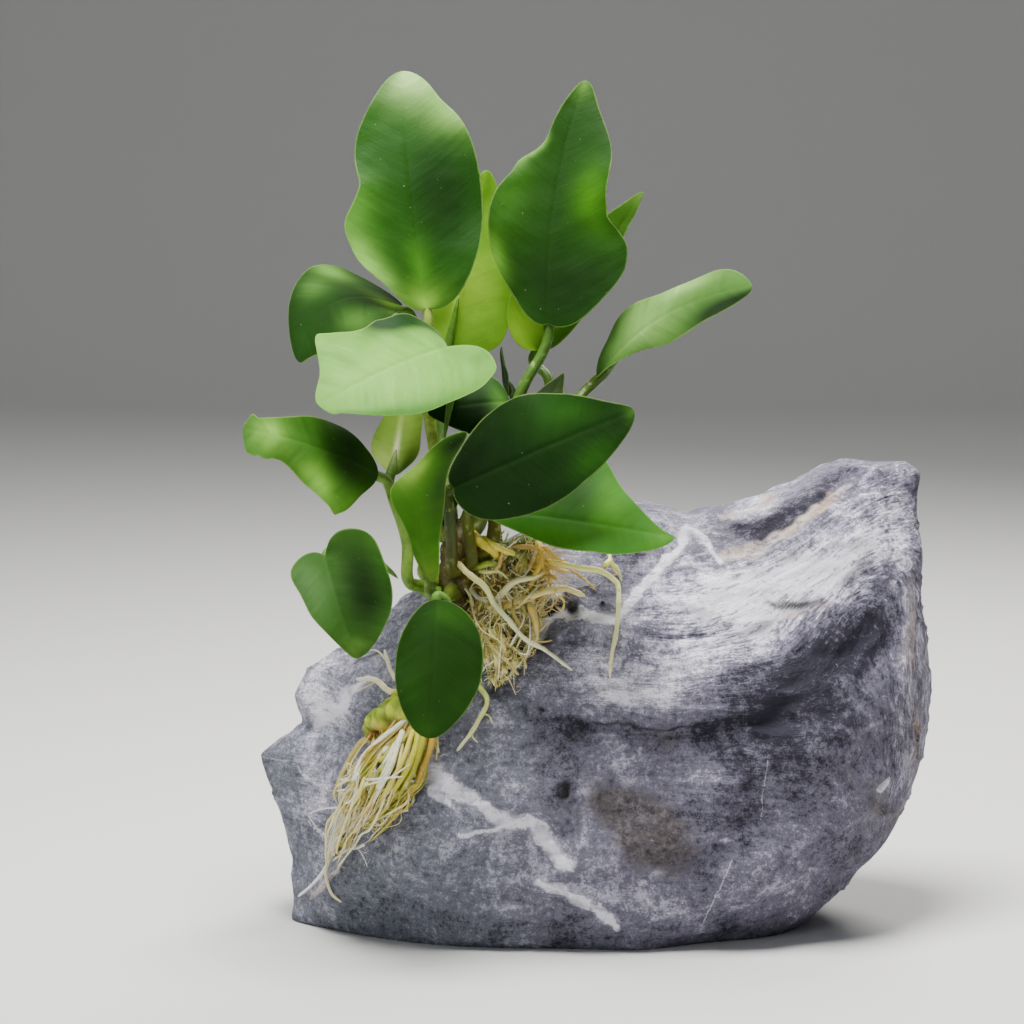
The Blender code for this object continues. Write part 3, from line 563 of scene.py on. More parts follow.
turns = np.linspace(-math.pi, math.pi, STONE_TURNS, endpoint=False)
front_shares = np.concatenate([
    np.linspace(0, RIM_SHARE, STONE_FRONT_RINGS - RIM_RINGS),
    1 - 0.055 * np.linspace(1, 0, RIM_RINGS) ** 2,
])
back_shares = 1 - np.linspace(0, 1, STONE_BACK_RINGS + 1)[1:] ** 1.6
share, turn = np.meshgrid(np.concatenate([front_shares, back_shares]), turns, indexing="ij")
reach = share * outline_radius(turn)
stone_x, stone_z = STONE_AXIS[0] + reach * np.cos(turn), STONE_AXIS[1] + reach * np.sin(turn)
is_front = np.arange(len(share))[:, None] < len(front_shares)
stone_y = np.where(is_front, stone_front(stone_x, stone_z), stone_back(stone_x, stone_z))
stone_grid = np.stack([stone_x, stone_y, stone_z], -1)
outward = -grid_normals(stone_grid)
broad = layered_noise(stone_grid, 17, 2, 11)
rough = layered_noise(stone_grid, 4.5, 3, 23)
warped = stone_grid + 1.6 * np.stack([layered_noise(stone_grid, 6, 2, k) for k in (13, 17, 19)], -1)
broken = dishes(warped * (0.8, 1, 1.3), HOLLOWS, HOLLOW_SIZE, 29)
broken = broken + 0.4 * np.clip((1 - share) * 12, 0.3, 1) * dishes(warped, CHIPS, CHIP_SIZE, 37)
creases = 1 - np.abs(lattice_noise(stone_grid * (0.6, 1, 1.5), 13, 31)) * 3.2
bed_slope = 0.42 * step(stone_z - 58, 5) * step(stone_x - 8, 8) - 0.04
bed = stone_z - bed_slope * (stone_x - 20) + 1.3 * lattice_noise(stone_grid, 16, 41)
side_turn = step(stone_x - 50, 4) * step(72 - stone_z, 6)
bed = bed * (1 - side_turn) + SIDE_BED * share * side_turn
along_bed = np.where(side_turn > 0.5, stone_z, stone_x) + 0.4 * stone_y
steps_in_bed = layered_noise(np.stack([along_bed * 0.07, bed * 0.5, stone_y * 0.06], -1), 1, 2, 47)
off_rim = np.clip((1 - share) * 12, 0.2, 1)
relief = 0.35 * broad + 0.3 * rough * off_rim + 0.65 * broken - 0.6 * np.clip(creases, 0, 1) ** 3
relief += 0.4 * off_rim * steps_in_bed
pit_depth = sum(spot(stone_x, stone_z, (x, z), size, size * 1.15) for x, z, size in PITS) * is_front
front_share = step(RIM_LEAN * (stone_z - STONE_AXIS[1]) - stone_y, 3)
relief = (relief - PIT_DEPTH * pit_depth) * np.clip(stone_z / 3, 0, 1)
stone_grid += outward * relief[..., None]
stone_grid[..., 2] = np.maximum(stone_grid[..., 2], 0)
warp_x = 1.0 * lattice_noise(stone_grid, 9, 53) + 0.7 * lattice_noise(stone_grid, 3, 57)
warp_z = 1.0 * lattice_noise(stone_grid, 9, 59) + 0.7 * lattice_noise(stone_grid, 3, 61)
x, z = stone_x + warp_x, stone_z + warp_z


def vein_distance(lines):
    """How many half widths away the nearest of the lines is; on the back they count as far off."""
    return np.minimum.reduce([near_line(x, z, *line) for line in lines]) + OFF_VEIN * (1 - front_share)


def spots(rows):
    """The sum of bells: x and z of the centre, size along and across, lean and height of each."""
    return sum(height * spot(x, z, (at_x, at_z), long, wide, lean)
               for at_x, at_z, long, wide, lean, height in rows)


# painted shade inside the open cracks
crack_shade = 0.8 * front_share * step(1 - vein_distance(CRACKS), 0.3)
# the tone before noise: the rock's own patches, with the painted light and shade among them
light = STONE_MIDDLE_LIGHT + 0.08 * broad + 1.2 * front_share * spots(TONES_AND_PAINTED_LIGHT)
# painted shadow just beneath the ledge and the crest, which overhang the face below them
light -= front_share * 0.4 * undercut(x, z, LEDGE, 0.3, 3.0)
light -= front_share * 0.42 * undercut(x, z, CREST, 0.4, 12)
slate_mix = step(-stone_x - 16, 10)[..., None]
slate = np.array(tone(*STONE_SLATE)) * (1 - slate_mix) + np.array(tone(*STONE_SLATE_LEFT)) * slate_mix
bent = stone_grid + 5 * np.stack([layered_noise(stone_grid, 26, 3, k) for k in (71, 73, 79)], -1)
back_veins = OFF_VEIN * front_share + np.minimum.reduce([
    np.abs(bent @ np.array(way) - offset)
    / (half * (0.75 + 0.6 * lattice_noise(stone_grid, 15, 83 + offset)))
    for way, offset, half in BACK_VEINS
])
back_veins = np.where(back_veins < 0, OFF_VEIN, back_veins)
stone_values = {
    "grain": np.stack([along_bed, bed, stone_y], -1),
    "light": light,
    "bedded": 0.03 + 0.97 * np.clip(spots(BEDDED), 0, 1) * np.clip(2 * front_share, 0, 1),
    "slate": np.concatenate([slate, np.ones_like(slate[..., :1])], -1),
    "front": front_share,
    "cream": np.minimum(vein_distance(CREAM), 1.7 - spots(CREAM_STAINS) * front_share),
    "brown": spots(BROWN_STAINS) * front_share,
    "rust": spots(RUST_STAINS) * front_share,
    "calcite": np.minimum(vein_distance(CALCITE), back_veins),
    "hole_shade": np.clip(np.maximum(pit_depth * 2.4 - 0.4, crack_shade), 0, 1),
}
stone_faces = grid_faces(*share.shape, wrap=True)
add_piece("limestone_boulder", stone_grid, stone_faces, limestone, ["stone"], stone_values)

# ---- rhizome -----------------------------------------------------------------------------------
# The plant's creeping stem, which clings to the stone by its roots: knobbly with old leaf scars,
# yellow-green at its old lower end and orange-brown beneath, olive brown higher up.
FREE_Y = -19.0  # the plant stays before this plane where the stone falls away behind it
RHIZOME = (  # x, z and distance of the axis before the stone
    (-45.8, 41.6, 4.4), (-43, 44.2, 4.6), (-39.3, 46.3, 4.9), (-34, 52.5, 5.4), (-30.6, 60, 5.2),
    (-28.8, 68, 4.8), (-27.9, 75.8, 4.6), (-26.7, 83.2, 4.4),
)
RHIZOME_RADIUS = 3.7
RHIZOME_KNUCKLES, KNUCKLE_RISE = 9, 0.35
RHIZOME_POINTS, RHIZOME_AROUND = 240, 72
SCAR_WIDTH = 0.14
BARK_OLIVE, BARK_GREEN = (88, 80, 32), (150, 176, 20)  # its skin high up, and at its old low end
# a painted highlight on the low end's humps and painted shade in its hollows
BOSS_HIGHLIGHT_TONE, HOLLOW_SHADE_TONE = (204, 214, 66), (92, 108, 26)  # the low end's humps and hollows
BENEATH_TONE, SCAR_TONE = (164, 102, 42), (84, 70, 28)
BARK_BROWN, BARK_PALE = (88, 64, 30), (186, 190, 96)  # its fine dark and light patches


def hermite(at, knots, values):
    """The smooth curve through values at knots, of cubics that share their slope at each knot."""
    at, knots, values = (np.asarray(a, float) for a in (at, knots, values))
    slope = np.gradient(values, knots, axis=0)
    i = np.clip(np.searchsorted(knots, at, side="right") - 1, 0, len(knots) - 2)
    span = knots[i + 1] - knots[i]
    s = (at - knots[i]) / span
    if values.ndim > 1:
        s, span = s[:, None], span[:, None]
    return ((1 + 2 * s) * (1 - s) ** 2 * values[i] + s**2 * (3 - 2 * s) * values[i + 1]
            + span * s * (1 - s) * ((1 - s) * slope[i] - s * slope[i + 1]))


def chords(points):
    """How far along the line of points each of them lies."""
    return np.concatenate([[0], np.cumsum(np.linalg.norm(np.diff(points, axis=0), axis=1))])


def smooth_path(points, count):
    """count points, evenly spaced by chord, on the smooth curve through the given ones."""
    points = np.asarray(points, float)
    chord = chords(points)
    return hermite(np.linspace(0, chord[-1], count), chord, points)


def unit(vector):
    """The vector, or each of the vectors, at a length of one."""
    vector = np.asarray(vector, float)
    return vector / np.maximum(np.linalg.norm(vector, axis=-1, keepdims=True), 1e-12)


def before_stone(x, z, distance):
    """The point at (x, z) that far before the stone, or before the free plane where that is nearer."""
    return np.array([x, min(float(stone_front(x, z)), FREE_Y) - distance, z])


def rhizome_axis(share):
    """The points on the rhizome's axis at those shares of its length."""
    points = np.array([before_stone(*row) for row in RHIZOME])
    return hermite(np.atleast_1d(share) * chords(points)[-1], chords(points), points)


def rhizome_radius(share):
    """Rounded ends, slimmer at the old one, and a knuckle at each old leaf."""
    ends = np.sqrt(np.clip(1 - (2 * np.clip(share, 0.02, 0.985) - 1) ** 8, 0, 1))
    old_end = 1 - 0.26 * step(0.13 - np.asarray(share, float), 0.03)
    knuckles = KNUCKLE_RISE * np.cos(2 * math.pi * RHIZOME_KNUCKLES * share)
    return (RHIZOME_RADIUS * old_end + knuckles) * ends


def sweep(paths, radii, around, start=(0.3, 1, 0.2)):
    """Round tubes: at each point of each path a ring of that radius, square to the path.

    The rings' first direction is carried along the path and kept square to it, so that no ring turns
    against the one before. Paths has any number of paths by points by 3, radii one number less.
    """
    ahead = unit(np.gradient(paths, axis=-2))
    side = np.empty_like(ahead)
    carried = np.broadcast_to(np.asarray(start, float), ahead[..., 0, :].shape)
    for i in range(paths.shape[-2]):
        here = ahead[..., i, :]
        carried = unit(carried - here * np.sum(carried * here, -1, keepdims=True))
        side[..., i, :] = carried
    other = np.cross(ahead, side)
    turn = np.linspace(0, 2 * math.pi, around, endpoint=False)[:, None]
    ring = np.cos(turn) * side[..., None, :] + np.sin(turn) * other[..., None, :]
    return paths[..., None, :] + np.asarray(radii)[..., None, None] * ring, ring


def blend(first, second, share):
    """The first colour going over to the second by the share."""
    share = np.asarray(share, float)[..., None]
    return np.asarray(first) * (1 - share) + np.asarray(second) * share


def with_alpha(colour):
    """The colours with a fourth value of one."""
    return np.concatenate([colour, np.ones_like(colour[..., :1])], -1)


rhizome_look, rhizome_shader, wire, place = new_material("anubias_rhizome")
fine = place.noise(1500.0, 4.0, 0.6)
mottle = place.noise(420.0, 4.0, 0.6, 0.5)
brown_patches = (mottle + (fine - 0.5) * 0.5).rise(0.55, 0.75)
pale_patches = (mottle + (fine - 0.5) * 0.6).rise(0.42, 0.25)
rhizome_colour = attribute(wire, "tint", 0).mixed(tone(*BARK_BROWN), brown_patches * 0.55)
rhizome_colour = rhizome_colour.mixed(tone(*BARK_PALE), pale_patches * 0.4)
surface(wire, rhizome_shader, rhizome_colour, (mottle * 0.3) + 0.4, mottle * 0.7 + fine * 0.4, 0.3)

share = (1 - np.cos(np.linspace(0, math.pi, RHIZOME_POINTS))) / 2
rhizome_line = rhizome_axis(share)
rhizome_width = rhizome_radius(share)
rhizome_width[[0, -1]] = 0
rhizome_grid, rhizome_out = sweep(rhizome_line, rhizome_width, RHIZOME_AROUND)
lumps = layered_noise(rhizome_grid, 4.2, 3, 101)
knobs = layered_noise(rhizome_grid, 6.5, 2, 107)
slant = 0.09 * rhizome_out[..., 0] + 0.35 * lattice_noise(rhizome_grid, 5, 109)
scar = np.abs((share[:, None] * RHIZOME_KNUCKLES * 1.3 + 0.35 + slant) % 1 - 0.5) * 2
groove = np.exp(-(((1 - scar) / SCAR_WIDTH) ** 2)) * np.clip(0.6 + knobs, 0, 1)
flat_ends = np.clip(rhizome_width / 2, 0, 1)[:, None]
low_end = step(0.3 - share, 0.05)[:, None]
bosses = layered_noise(rhizome_grid, 3.2, 2, 113)
rhizome_relief = 0.6 * lumps + low_end * (0.8 * knobs + 0.9 * bosses) - 0.3 * groove
rhizome_grid += rhizome_out * (flat_ends * rhizome_relief)[..., None]
beneath = step(-rhizome_out[..., 2] - 0.42 + 0.4 * lumps, 0.14)
rhizome_tint = blend(tone(*BARK_OLIVE), tone(*BARK_GREEN), np.broadcast_to(low_end, beneath.shape))
# painted highlight on the humps and painted shade in the hollows, by the height of the bosses
rhizome_tint = blend(rhizome_tint, tone(*BOSS_HIGHLIGHT_TONE), low_end * np.clip(bosses * 1.6, 0, 0.8))
rhizome_tint = blend(rhizome_tint, tone(*HOLLOW_SHADE_TONE), low_end * np.clip(-bosses * 1.8, 0, 0.8))
rhizome_tint = blend(rhizome_tint, tone(*BENEATH_TONE), beneath * (0.35 + 0.6 * low_end))
rhizome_tint = blend(rhizome_tint, tone(*SCAR_TONE), groove * (0.6 - 0.3 * low_end))
rhizome_faces = grid_faces(*rhizome_grid.shape[:2], wrap=True)
add_piece("creeping_rhizome", rhizome_grid, rhizome_faces, rhizome_look, ["rhizome"],
          {"tint": with_alpha(rhizome_tint)})

# ---- blades ------------------------------------------------------------------------------------
# Seventeen leathery blades, thickest along the midrib, which is sunk above and stands out beneath,
# with faint side veins, wavy margins with a painted highlight along their rims, a soft gloss, and
# patches of painted sheen and shade. Each grows out of the end of its stalk.
LOBE_PEAK = 0.11  # how far down a blade, in t, its lobes reach back furthest
Leaf = namedtuple(
    "Leaf",
    "name base tip face left right arch bow twist lift_left lift_right lobes wave foot side via nicks",
    defaults=(0.0, 0.0, 0.0, (0, 0, 0), (0, 0, 0), (0, 0), 0.5, 0.9, (0, -1), (), ()),
)
# base and tip of the midrib, the way the upper side faces, half widths at a tenth, three, five, seven
# and nine tenths of the length, the midrib's arch towards its face and bow to its right, the blade's
# twist in degrees, the lift of the margins at two, five and eight tenths, how far the lobes reach back
# past the base, the waviness of the margin; then the stalk: its foot along the rhizome, the way it
# leaves it in x and y, and the points that it goes through; then its nicks and corners, as the side
# (1 for the right), place along the length, size, and mm that the margin stands out there
LEAVES = (
    Leaf("top_left", (-34.2, -14, 124), (-39.2, 2, 169.4), (0.05, -0.93, 0.37),
         (6.6, 13, 10.6, 10, 5.6), (8.5, 13, 14, 12.3, 6.4), 1.5, -1.0, 0, (1, 1.5, 0.5),
         (1, 0.5, 1), (1, 1), 0.8,
         0.93, (-0.95, 0.3), ((-31.8, -19.3, 88), (-34, -15, 104), (-34.8, -13, 116)),
         ((-1, 0.37, 0.07, 1.0), (-1, 0.53, 0.05, -0.6), (-1, 0.2, 0.06, 0.6), (1, 0.86, 0.05, -0.5))),
    Leaf("top_right", (-10.4, -9, 120.4), (-3.1, 4, 167.5), (-0.1, -0.95, 0.3),
         (6.5, 11.8, 11.8, 5.4, 2.6), (9.4, 15.6, 10.6, 9.8, 4.3), 1.0, -2.4, 0, (0.5, 1, 0.5),
         (1, 2, 0.5), (1, 1), 0.8,
         0.96, (0.55, 0.85), ((-22.8, -15.6, 88), (-19.9, -14.5, 96.3), (-15.5, -11.5, 108)),
         ((-1, 0.64, 0.035, 1.0), (-1, 0.73, 0.05, -0.6), (1, 0.36, 0.04, 0.7), (1, 0.45, 0.03, -0.6))),
    Leaf("back_right", (-12.4, 8, 113.5), (8.8, 14, 144.8), (-0.2, -0.95, -0.1),
         (9, 11, 8, 5, 2), (3, 4, 4, 2.2, 1), 1.0, 0, 0, (0, 0, 0), (0, 0, 0), (2, 0), 0.4,
         0.92, (0, 1), ((-24.2, -11.5, 86), (-16, -5, 92), (-11, 2, 101), (-10.4, 6, 108))),
    Leaf("back_centre", (-30.6, 6, 114), (-22.6, 12, 149.3), (-0.1, 1, 0.1),
         (10, 11.2, 9.8, 7.2, 3.4), (4.4, 6.3, 6.1, 4.7, 2.4), 1.0, 0, 0, (0, 0, 0),
         (0, 0, 0), (1, 1), 0.4,
         0.82, (-0.15, 1), ((-29.5, -13.6, 84), (-31.5, -5, 94), (-31.8, 2, 104))),
    Leaf("upper_left", (-38.9, -6, 123.4), (-59, -20, 114), (-0.2, -0.6, 0.75),
         (4, 10, 12, 10, 4), (12.5, 15, 12, 8.6, 4.2), 5.0, 5.0, 0, (0, -1, -1),
         (0, -1, -1), (1, 1), 0.5,
         0.84, (-0.75, 0.65), ((-33, -14.5, 86), (-34.3, -8, 102), (-36.5, -5.5, 116))),
    Leaf("front_left", (-30.2, -20, 117), (-54.5, -36, 107.4), (0, -0.75, 0.66),
         (11, 13, 12.5, 9.4, 4.8), (9.5, 10.4, 10.4, 12.4, 4.8), 1.5, 0, 0, (0, 0, 0),
         (1, 1, 0), (7, 1), 0.5,
         0.9, (-0.5, -0.85), ((-31.2, -27, 85), (-30.6, -25.5, 100), (-29.2, -22.6, 110)),
         ((1, 0.72, 0.05, 1.4), (1, 0.84, 0.06, -1.0), (-1, 0.97, 0.03, 0.9), (1, 0.33, 0.06, 0.6),
          (-1, 0.05, 0.03, 0.8))),
    Leaf("middle", (-18, -16, 105.7), (-34, -19, 104), (0, -0.8, 0.6),
         (5, 7, 7, 5, 2.5), (5, 7, 7, 5, 2.5), 1.0, 0, 0, (0, 0, 0), (0, 0, 0), (0, 0), 0.4,
         0.98, (0.4, -0.9), ((-24, -21, 88.5), (-21.5, -18.5, 98.5))),
    Leaf("front_right", (-28.7, -36, 91.5), (5.4, -42, 107), (0, -0.95, 0.3),
         (5.8, 10.3, 11.2, 8.3, 3.4), (7.8, 10.4, 10.5, 8.4, 4.5), 1.5, 0, 0, (-1, -1, 0),
         (-0.5, -0.5, 0), (1, 1), 0.5,
         0.82, (-0.2, -1), ((-29.2, -31.5, 80), (-29.6, -34, 86.4))),
    Leaf("low_right", (-25.3, -29, 86.5), (13.2, -42, 82.8), (0, -0.8, 0.6),
         (8, 14, 16.5, 8.5, 2), (2, 4.4, 6.4, 6.3, 3.8), 1.0, 0, 0, (0, 0, 0), (0, 0, 0), (0, 0), 0.6,
         0.84, (0.45, -0.9), ((-26, -29.5, 82),)),
    Leaf("far_right", (-0.9, -8, 109.8), (28.9, -20, 128.7), (-0.3, -0.75, 0.6),
         (4.5, 6.8, 5.3, 5.3, 5), (1.2, 3.4, 6.5, 5.7, 3.2), 2.0, -3.0, 0, (0, 0, 0),
         (0, 0, 0), (0, 0), 0.6,
         0.9, (0.9, -0.5), ((-20.5, -25.4, 85.5), (-15, -21.5, 95), (-6.5, -15, 104))),
    Leaf("young_right", (-14.5, -14, 99), (-7.4, -8, 110.5), (0, -0.9, 0.4),
         (1.5, 3, 3, 2.2, 0.9), (1.5, 3, 3, 2.2, 0.9), 0, 0, 0, (0, 0, 0), (0, 0, 0), (0, 0), 0.1,
         0.88, (0.95, 0.1), ((-21.2, -19.6, 86), (-17.5, -16, 92.5))),
    Leaf("mid_left", (-43.4, -28, 93.1), (-68.7, -38, 103.2), (0, -0.8, 0.6),
         (5.6, 12.5, 9.2, 4.9, 6), (3.6, 6.8, 6.5, 4.5, 2.9), 2.0, 0, 0, (0, 0, 0),
         (0, 0, 0), (0, 0), 1.0,
         0.7, (-1, -0.35), ((-37.6, -31.5, 73), (-37.8, -30, 80), (-40.1, -29, 87.2)),
         ((1, 0.95, 0.03, 1.4), (-1, 0.88, 0.03, -0.8), (-1, 0.96, 0.02, 0.7), (-1, 0.32, 0.03, 0.8))),
    Leaf("young_left", (-41, -18, 91.4), (-38.7, -8, 108.2), (0.2, 1, 0.2),
         (2.2, 4.1, 4.1, 4.1, 2.6), (2, 5.4, 5.2, 3.8, 2.6), 1.0, 0, 0, (1, 1, 0.5),
         (1, 1, 0.5), (0, 0), 0.3,
         0.76, (-1, 0.05), ((-34, -22.8, 77), (-37.8, -20.5, 86))),
    Leaf("centre", (-33, -40, 74), (-26.3, -44, 103.2), (-0.3, -0.95, 0),
         (1.8, 2.4, 6, 3.4, 2.4), (2.9, 3.8, 4.1, 2.9, 1.8), 1.0, -5.5, 0, (0, 0.5, 0),
         (-1.5, -3, -1), (0, 0), 0.5,
         0.72, (-0.1, -1), ((-31.6, -37, 70),)),
    Leaf("low_left", (-52.7, -50, 80.5), (-46.4, -56, 62), (-0.3, -0.9, 0.3),
         (9.5, 11, 10.9, 9.2, 5), (7.1, 6.8, 5.9, 3.9, 1.9), 1.0, 0, 0, (0, 0, 0),
         (0, 0, 0), (4, 2), 0.4,
         0.62, (-0.8, -0.6), ((-35.8, -36, 70), (-41, -39, 76), (-48.6, -45.5, 80.8))),
    Leaf("low_centre", (-31.8, -44.5, 71.3), (-33.2, -52, 46), (0, -0.95, 0.3),
         (6.2, 9, 9.4, 8, 4.4), (4.1, 6.7, 7.3, 6.5, 4), 1.0, 0, 0, (-1, -1, 0),
         (-1, -1, 0), (0, 0), 0.3,
         0.58, (0.2, -1), ((-29.2, -40.5, 67), (-30.6, -42.6, 71))),
    Leaf("young_back", (-18.4, 0, 105.1), (-19.8, 4, 114.7), (-1, -0.3, 0),
         (1, 2, 2, 1.5, 0.7), (1, 2, 2, 1.5, 0.7), 0, 0, 0, (0, 0, 0), (0, 0, 0), (0, 0), 0.1,
         0.97, (-0.7, 0.7), ((-27.8, -14.6, 88), (-21.6, -7, 95.3))),
)
# the upper side's colour, the lower side's, how much light comes through, how rough it is, and
# patches of other colours: colour, place along and across the blade (0 to 1, -1 to 1), sizes of
# both, strength; then how far the lower side has its own colour. The upper colours and patches are
# partly the blades' own lighter and darker parts and partly painted sheen where a blade faces the
# light overhead and painted shade; front_left's pale face is partly a pale bloom, partly sheen
Paint = namedtuple("Paint", "upper under glow rough patches back", defaults=(0.75,))
PAINTS = {
    "top_left": Paint((34, 82, 14), (92, 130, 60), 0.05, 0.46, (
        ((130, 166, 94), 1.02, 0.4, 0.15, 1.2, 1.2), ((108, 150, 70), 0.8, 0.9, 0.11, 0.5, 0.85),
        ((40, 88, 20), 0.75, -0.8, 0.12, 0.3, 0.7), ((74, 126, 40), 0.4, -0.95, 0.14, 0.35, 0.8),
        ((118, 168, 72), 0.2, -1.0, 0.12, 0.34, 0.95), ((116, 160, 52), 0, -0.1, 0.09, 0.7, 0.95),
        ((64, 120, 26), 0.17, 0, 0.12, 0.2, 0.8), ((19, 56, 6), 0.46, 0.45, 0.22, 0.5, 0.95))),
    "top_right": Paint((24, 62, 5), (80, 118, 48), 0.04, 0.52, (
        ((18, 48, 6), 0.15, 0.2, 0.15, 0.8, 0.9), ((92, 138, 44), 0.26, -1.0, 0.08, 0.2, 0.8),
        ((46, 92, 14), 0.5, -0.8, 0.18, 0.35, 0.6), ((104, 142, 70), 0.68, -1.0, 0.07, 0.2, 0.8),
        ((54, 104, 8), 0.52, 0.7, 0.13, 0.35, 0.75), ((24, 58, 8), 0.5, 0.05, 0.3, 0.12, 0.6),
        ((84, 122, 50), 1, 0, 0.07, 0.9, 0.6))),
    "back_right": Paint((50, 92, 10), (82, 128, 20), 0.12, 0.6, (
        ((124, 168, 34), 0.02, -0.8, 0.16, 0.6, 0.9), ((92, 128, 52), 0.98, 0, 0.06, 0.9, 0.6))),
    "back_centre": Paint((128, 180, 46), (86, 146, 28), 0.3, 0.55, (
        ((170, 212, 62), 0.35, 0, 0.15, 0.6, 0.85), ((86, 138, 24), 0.35, -1.0, 0.2, 0.35, 0.7),
        ((98, 156, 30), 0.9, 0, 0.22, 0.9, 0.85), ((162, 206, 66), 0.08, 0.2, 0.08, 0.5, 0.6)), 0),
    "upper_left": Paint((21, 51, 7), (74, 112, 44), 0.03, 0.9, (
        ((62, 98, 36), 0.52, -0.65, 0.14, 0.35, 0.7), ((58, 92, 36), 0.5, 0.6, 0.14, 0.3, 0.7),
        ((96, 142, 18), 0.1, -0.5, 0.12, 0.5, 0.9), ((74, 112, 44), 0.24, 0.8, 0.1, 0.3, 0.8),
        ((24, 60, 10), 0.88, 0.1, 0.2, 0.8, 0.8))),
    "front_left": Paint((102, 155, 60), (80, 120, 50), 0.03, 0.56, (
        ((116, 168, 71), 0.55, 0.1, 0.35, 0.6, 0.8), ((66, 122, 32), 0.62, -1.0, 0.5, 0.22, 1.2),
        ((34, 72, 28), 0.17, 0.98, 0.2, 0.28, 2.4), ((96, 148, 52), 0.98, -0.3, 0.08, 0.9, 0.7),
        ((82, 132, 46), 0.02, 0, 0.06, 0.9, 0.6))),
    "middle": Paint((22, 56, 8), (60, 96, 34), 0.05, 0.6, (
        ((64, 108, 34), 0.14, -0.1, 0.12, 0.8, 0.6),)),
    "front_right": Paint((14, 43, 3), (48, 84, 24), 0.02, 0.62, (
        ((9, 30, 3), 0.1, -0.5, 0.2, 0.6, 0.8), ((25, 68, 4), 0.68, -0.6, 0.2, 0.5, 0.8),
        ((26, 70, 5), 0.74, 0.7, 0.14, 0.4, 0.7), ((52, 88, 26), 1.0, 0, 0.05, 0.9, 0.7))),
    "low_right": Paint((44, 102, 7), (70, 128, 28), 0.08, 0.6, (
        ((30, 71, 4), 0.5, -0.4, 0.14, 0.45, 0.9), ((68, 126, 16), 0.68, -0.3, 0.1, 0.6, 0.6),
        ((76, 124, 38), 0.96, 0, 0.08, 0.9, 0.6), ((58, 113, 9), 0.5, 0.7, 0.14, 0.4, 0.6))),
    "far_right": Paint((66, 106, 40), (112, 152, 78), 0.04, 0.7, (
        ((104, 140, 72), 0.38, -0.2, 0.2, 0.9, 0.8), ((114, 150, 80), 0.65, -0.85, 0.2, 0.35, 0.8),
        ((21, 48, 9), 0.84, 0.9, 0.22, 0.6, 1.3), ((28, 58, 12), 0.0, 0, 0.1, 1.2, 0.95))),
    "young_right": Paint((30, 50, 10), (60, 92, 30), 0.04, 0.6, ()),
    "mid_left": Paint((46, 90, 16), (96, 146, 60), 0.05, 0.66, (
        ((22, 50, 8), 0.24, 0.3, 0.15, 0.8, 0.75), ((90, 132, 40), 0.46, -0.7, 0.14, 0.35, 0.8),
        ((104, 148, 56), 0.82, 0.1, 0.12, 0.9, 0.75), ((62, 106, 22), 0.2, -0.9, 0.12, 0.3, 0.7))),
    "young_left": Paint((168, 208, 84), (196, 216, 134), 0.2, 0.5, (
        ((68, 96, 36), 0.15, -0.8, 0.25, 0.5, 0.95), ((212, 236, 124), 0.18, 0.6, 0.2, 0.6, 0.85),
        ((238, 248, 196), 0.2, 0, 0.26, 0.13, 1.1)), 0),
    "centre": Paint((60, 112, 20), (98, 146, 50), 0.08, 0.55, (
        ((98, 126, 40), 0.04, 0.2, 0.1, 0.9, 0.8), ((126, 164, 60), 0.66, -0.7, 0.12, 0.45, 0.9),
        ((24, 48, 8), 0.92, 0.2, 0.13, 1.3, 0.95), ((40, 76, 14), 0.62, 0.8, 0.2, 0.4, 0.8))),
    "low_left": Paint((50, 90, 27), (70, 110, 40), 0.04, 0.6, (
        ((26, 52, 11), 0.42, -0.5, 0.42, 0.42, 1.0), ((82, 118, 66), 0.25, 0.7, 0.24, 0.6, 0.85),
        ((74, 112, 36), 0.92, 0.2, 0.12, 0.9, 0.7), ((39, 84, 15), 0.35, -1.0, 0.3, 0.2, 0.7))),
    "low_centre": Paint((23, 56, 5), (60, 100, 30), 0.03, 0.6, (
        ((38, 78, 12), 0.1, -0.4, 0.1, 0.7, 0.7), ((36, 74, 10), 0.95, 0.3, 0.1, 0.8, 0.7),
        ((28, 68, 10), 0.7, 0.5, 0.2, 0.4, 0.5))),
    "young_back": Paint((26, 50, 16), (30, 56, 18), 0.05, 0.6, ()),
}
# this deepens the patches' painted sheen and painted shade along with the blades' own tones
PAINT_CONTRAST = 0.38  # how far a patch lighter or darker than its blade is lightened or darkened more
BLADE_HALF = 0.2  # half a blade's thickness between the midrib and the margin
RIB_RISE, RIB_SUNK = 0.42, 0.17  # how far the midrib stands out beneath and is sunk above, at its base
BLADE_ROWS, BLADE_COLUMNS = 110, 25  # along a blade, and from its midrib to its margin
VEIN_LIGHT, VEIN_DARK, RIB_LIGHT = (1.6, 1.35, 1.8), (0.5, 0.6, 0.45), (1.9, 1.5, 1.9)  # times the tint
# the first colour is a thin painted highlight along the rim of each blade
RIM_HIGHLIGHT_TONE, SPECK_TONE, GLOW_TONE = (150, 184, 92), (160, 184, 130), (140, 186, 30)


def blade_axes(leaf):
    """Unit vectors along the blade, out of its upper side, and to its right as that side is seen."""
    along = unit(np.subtract(leaf.tip, leaf.base))
    face = unit(leaf.face - along * np.dot(leaf.face, along))
    return along, face, np.cross(along, face)


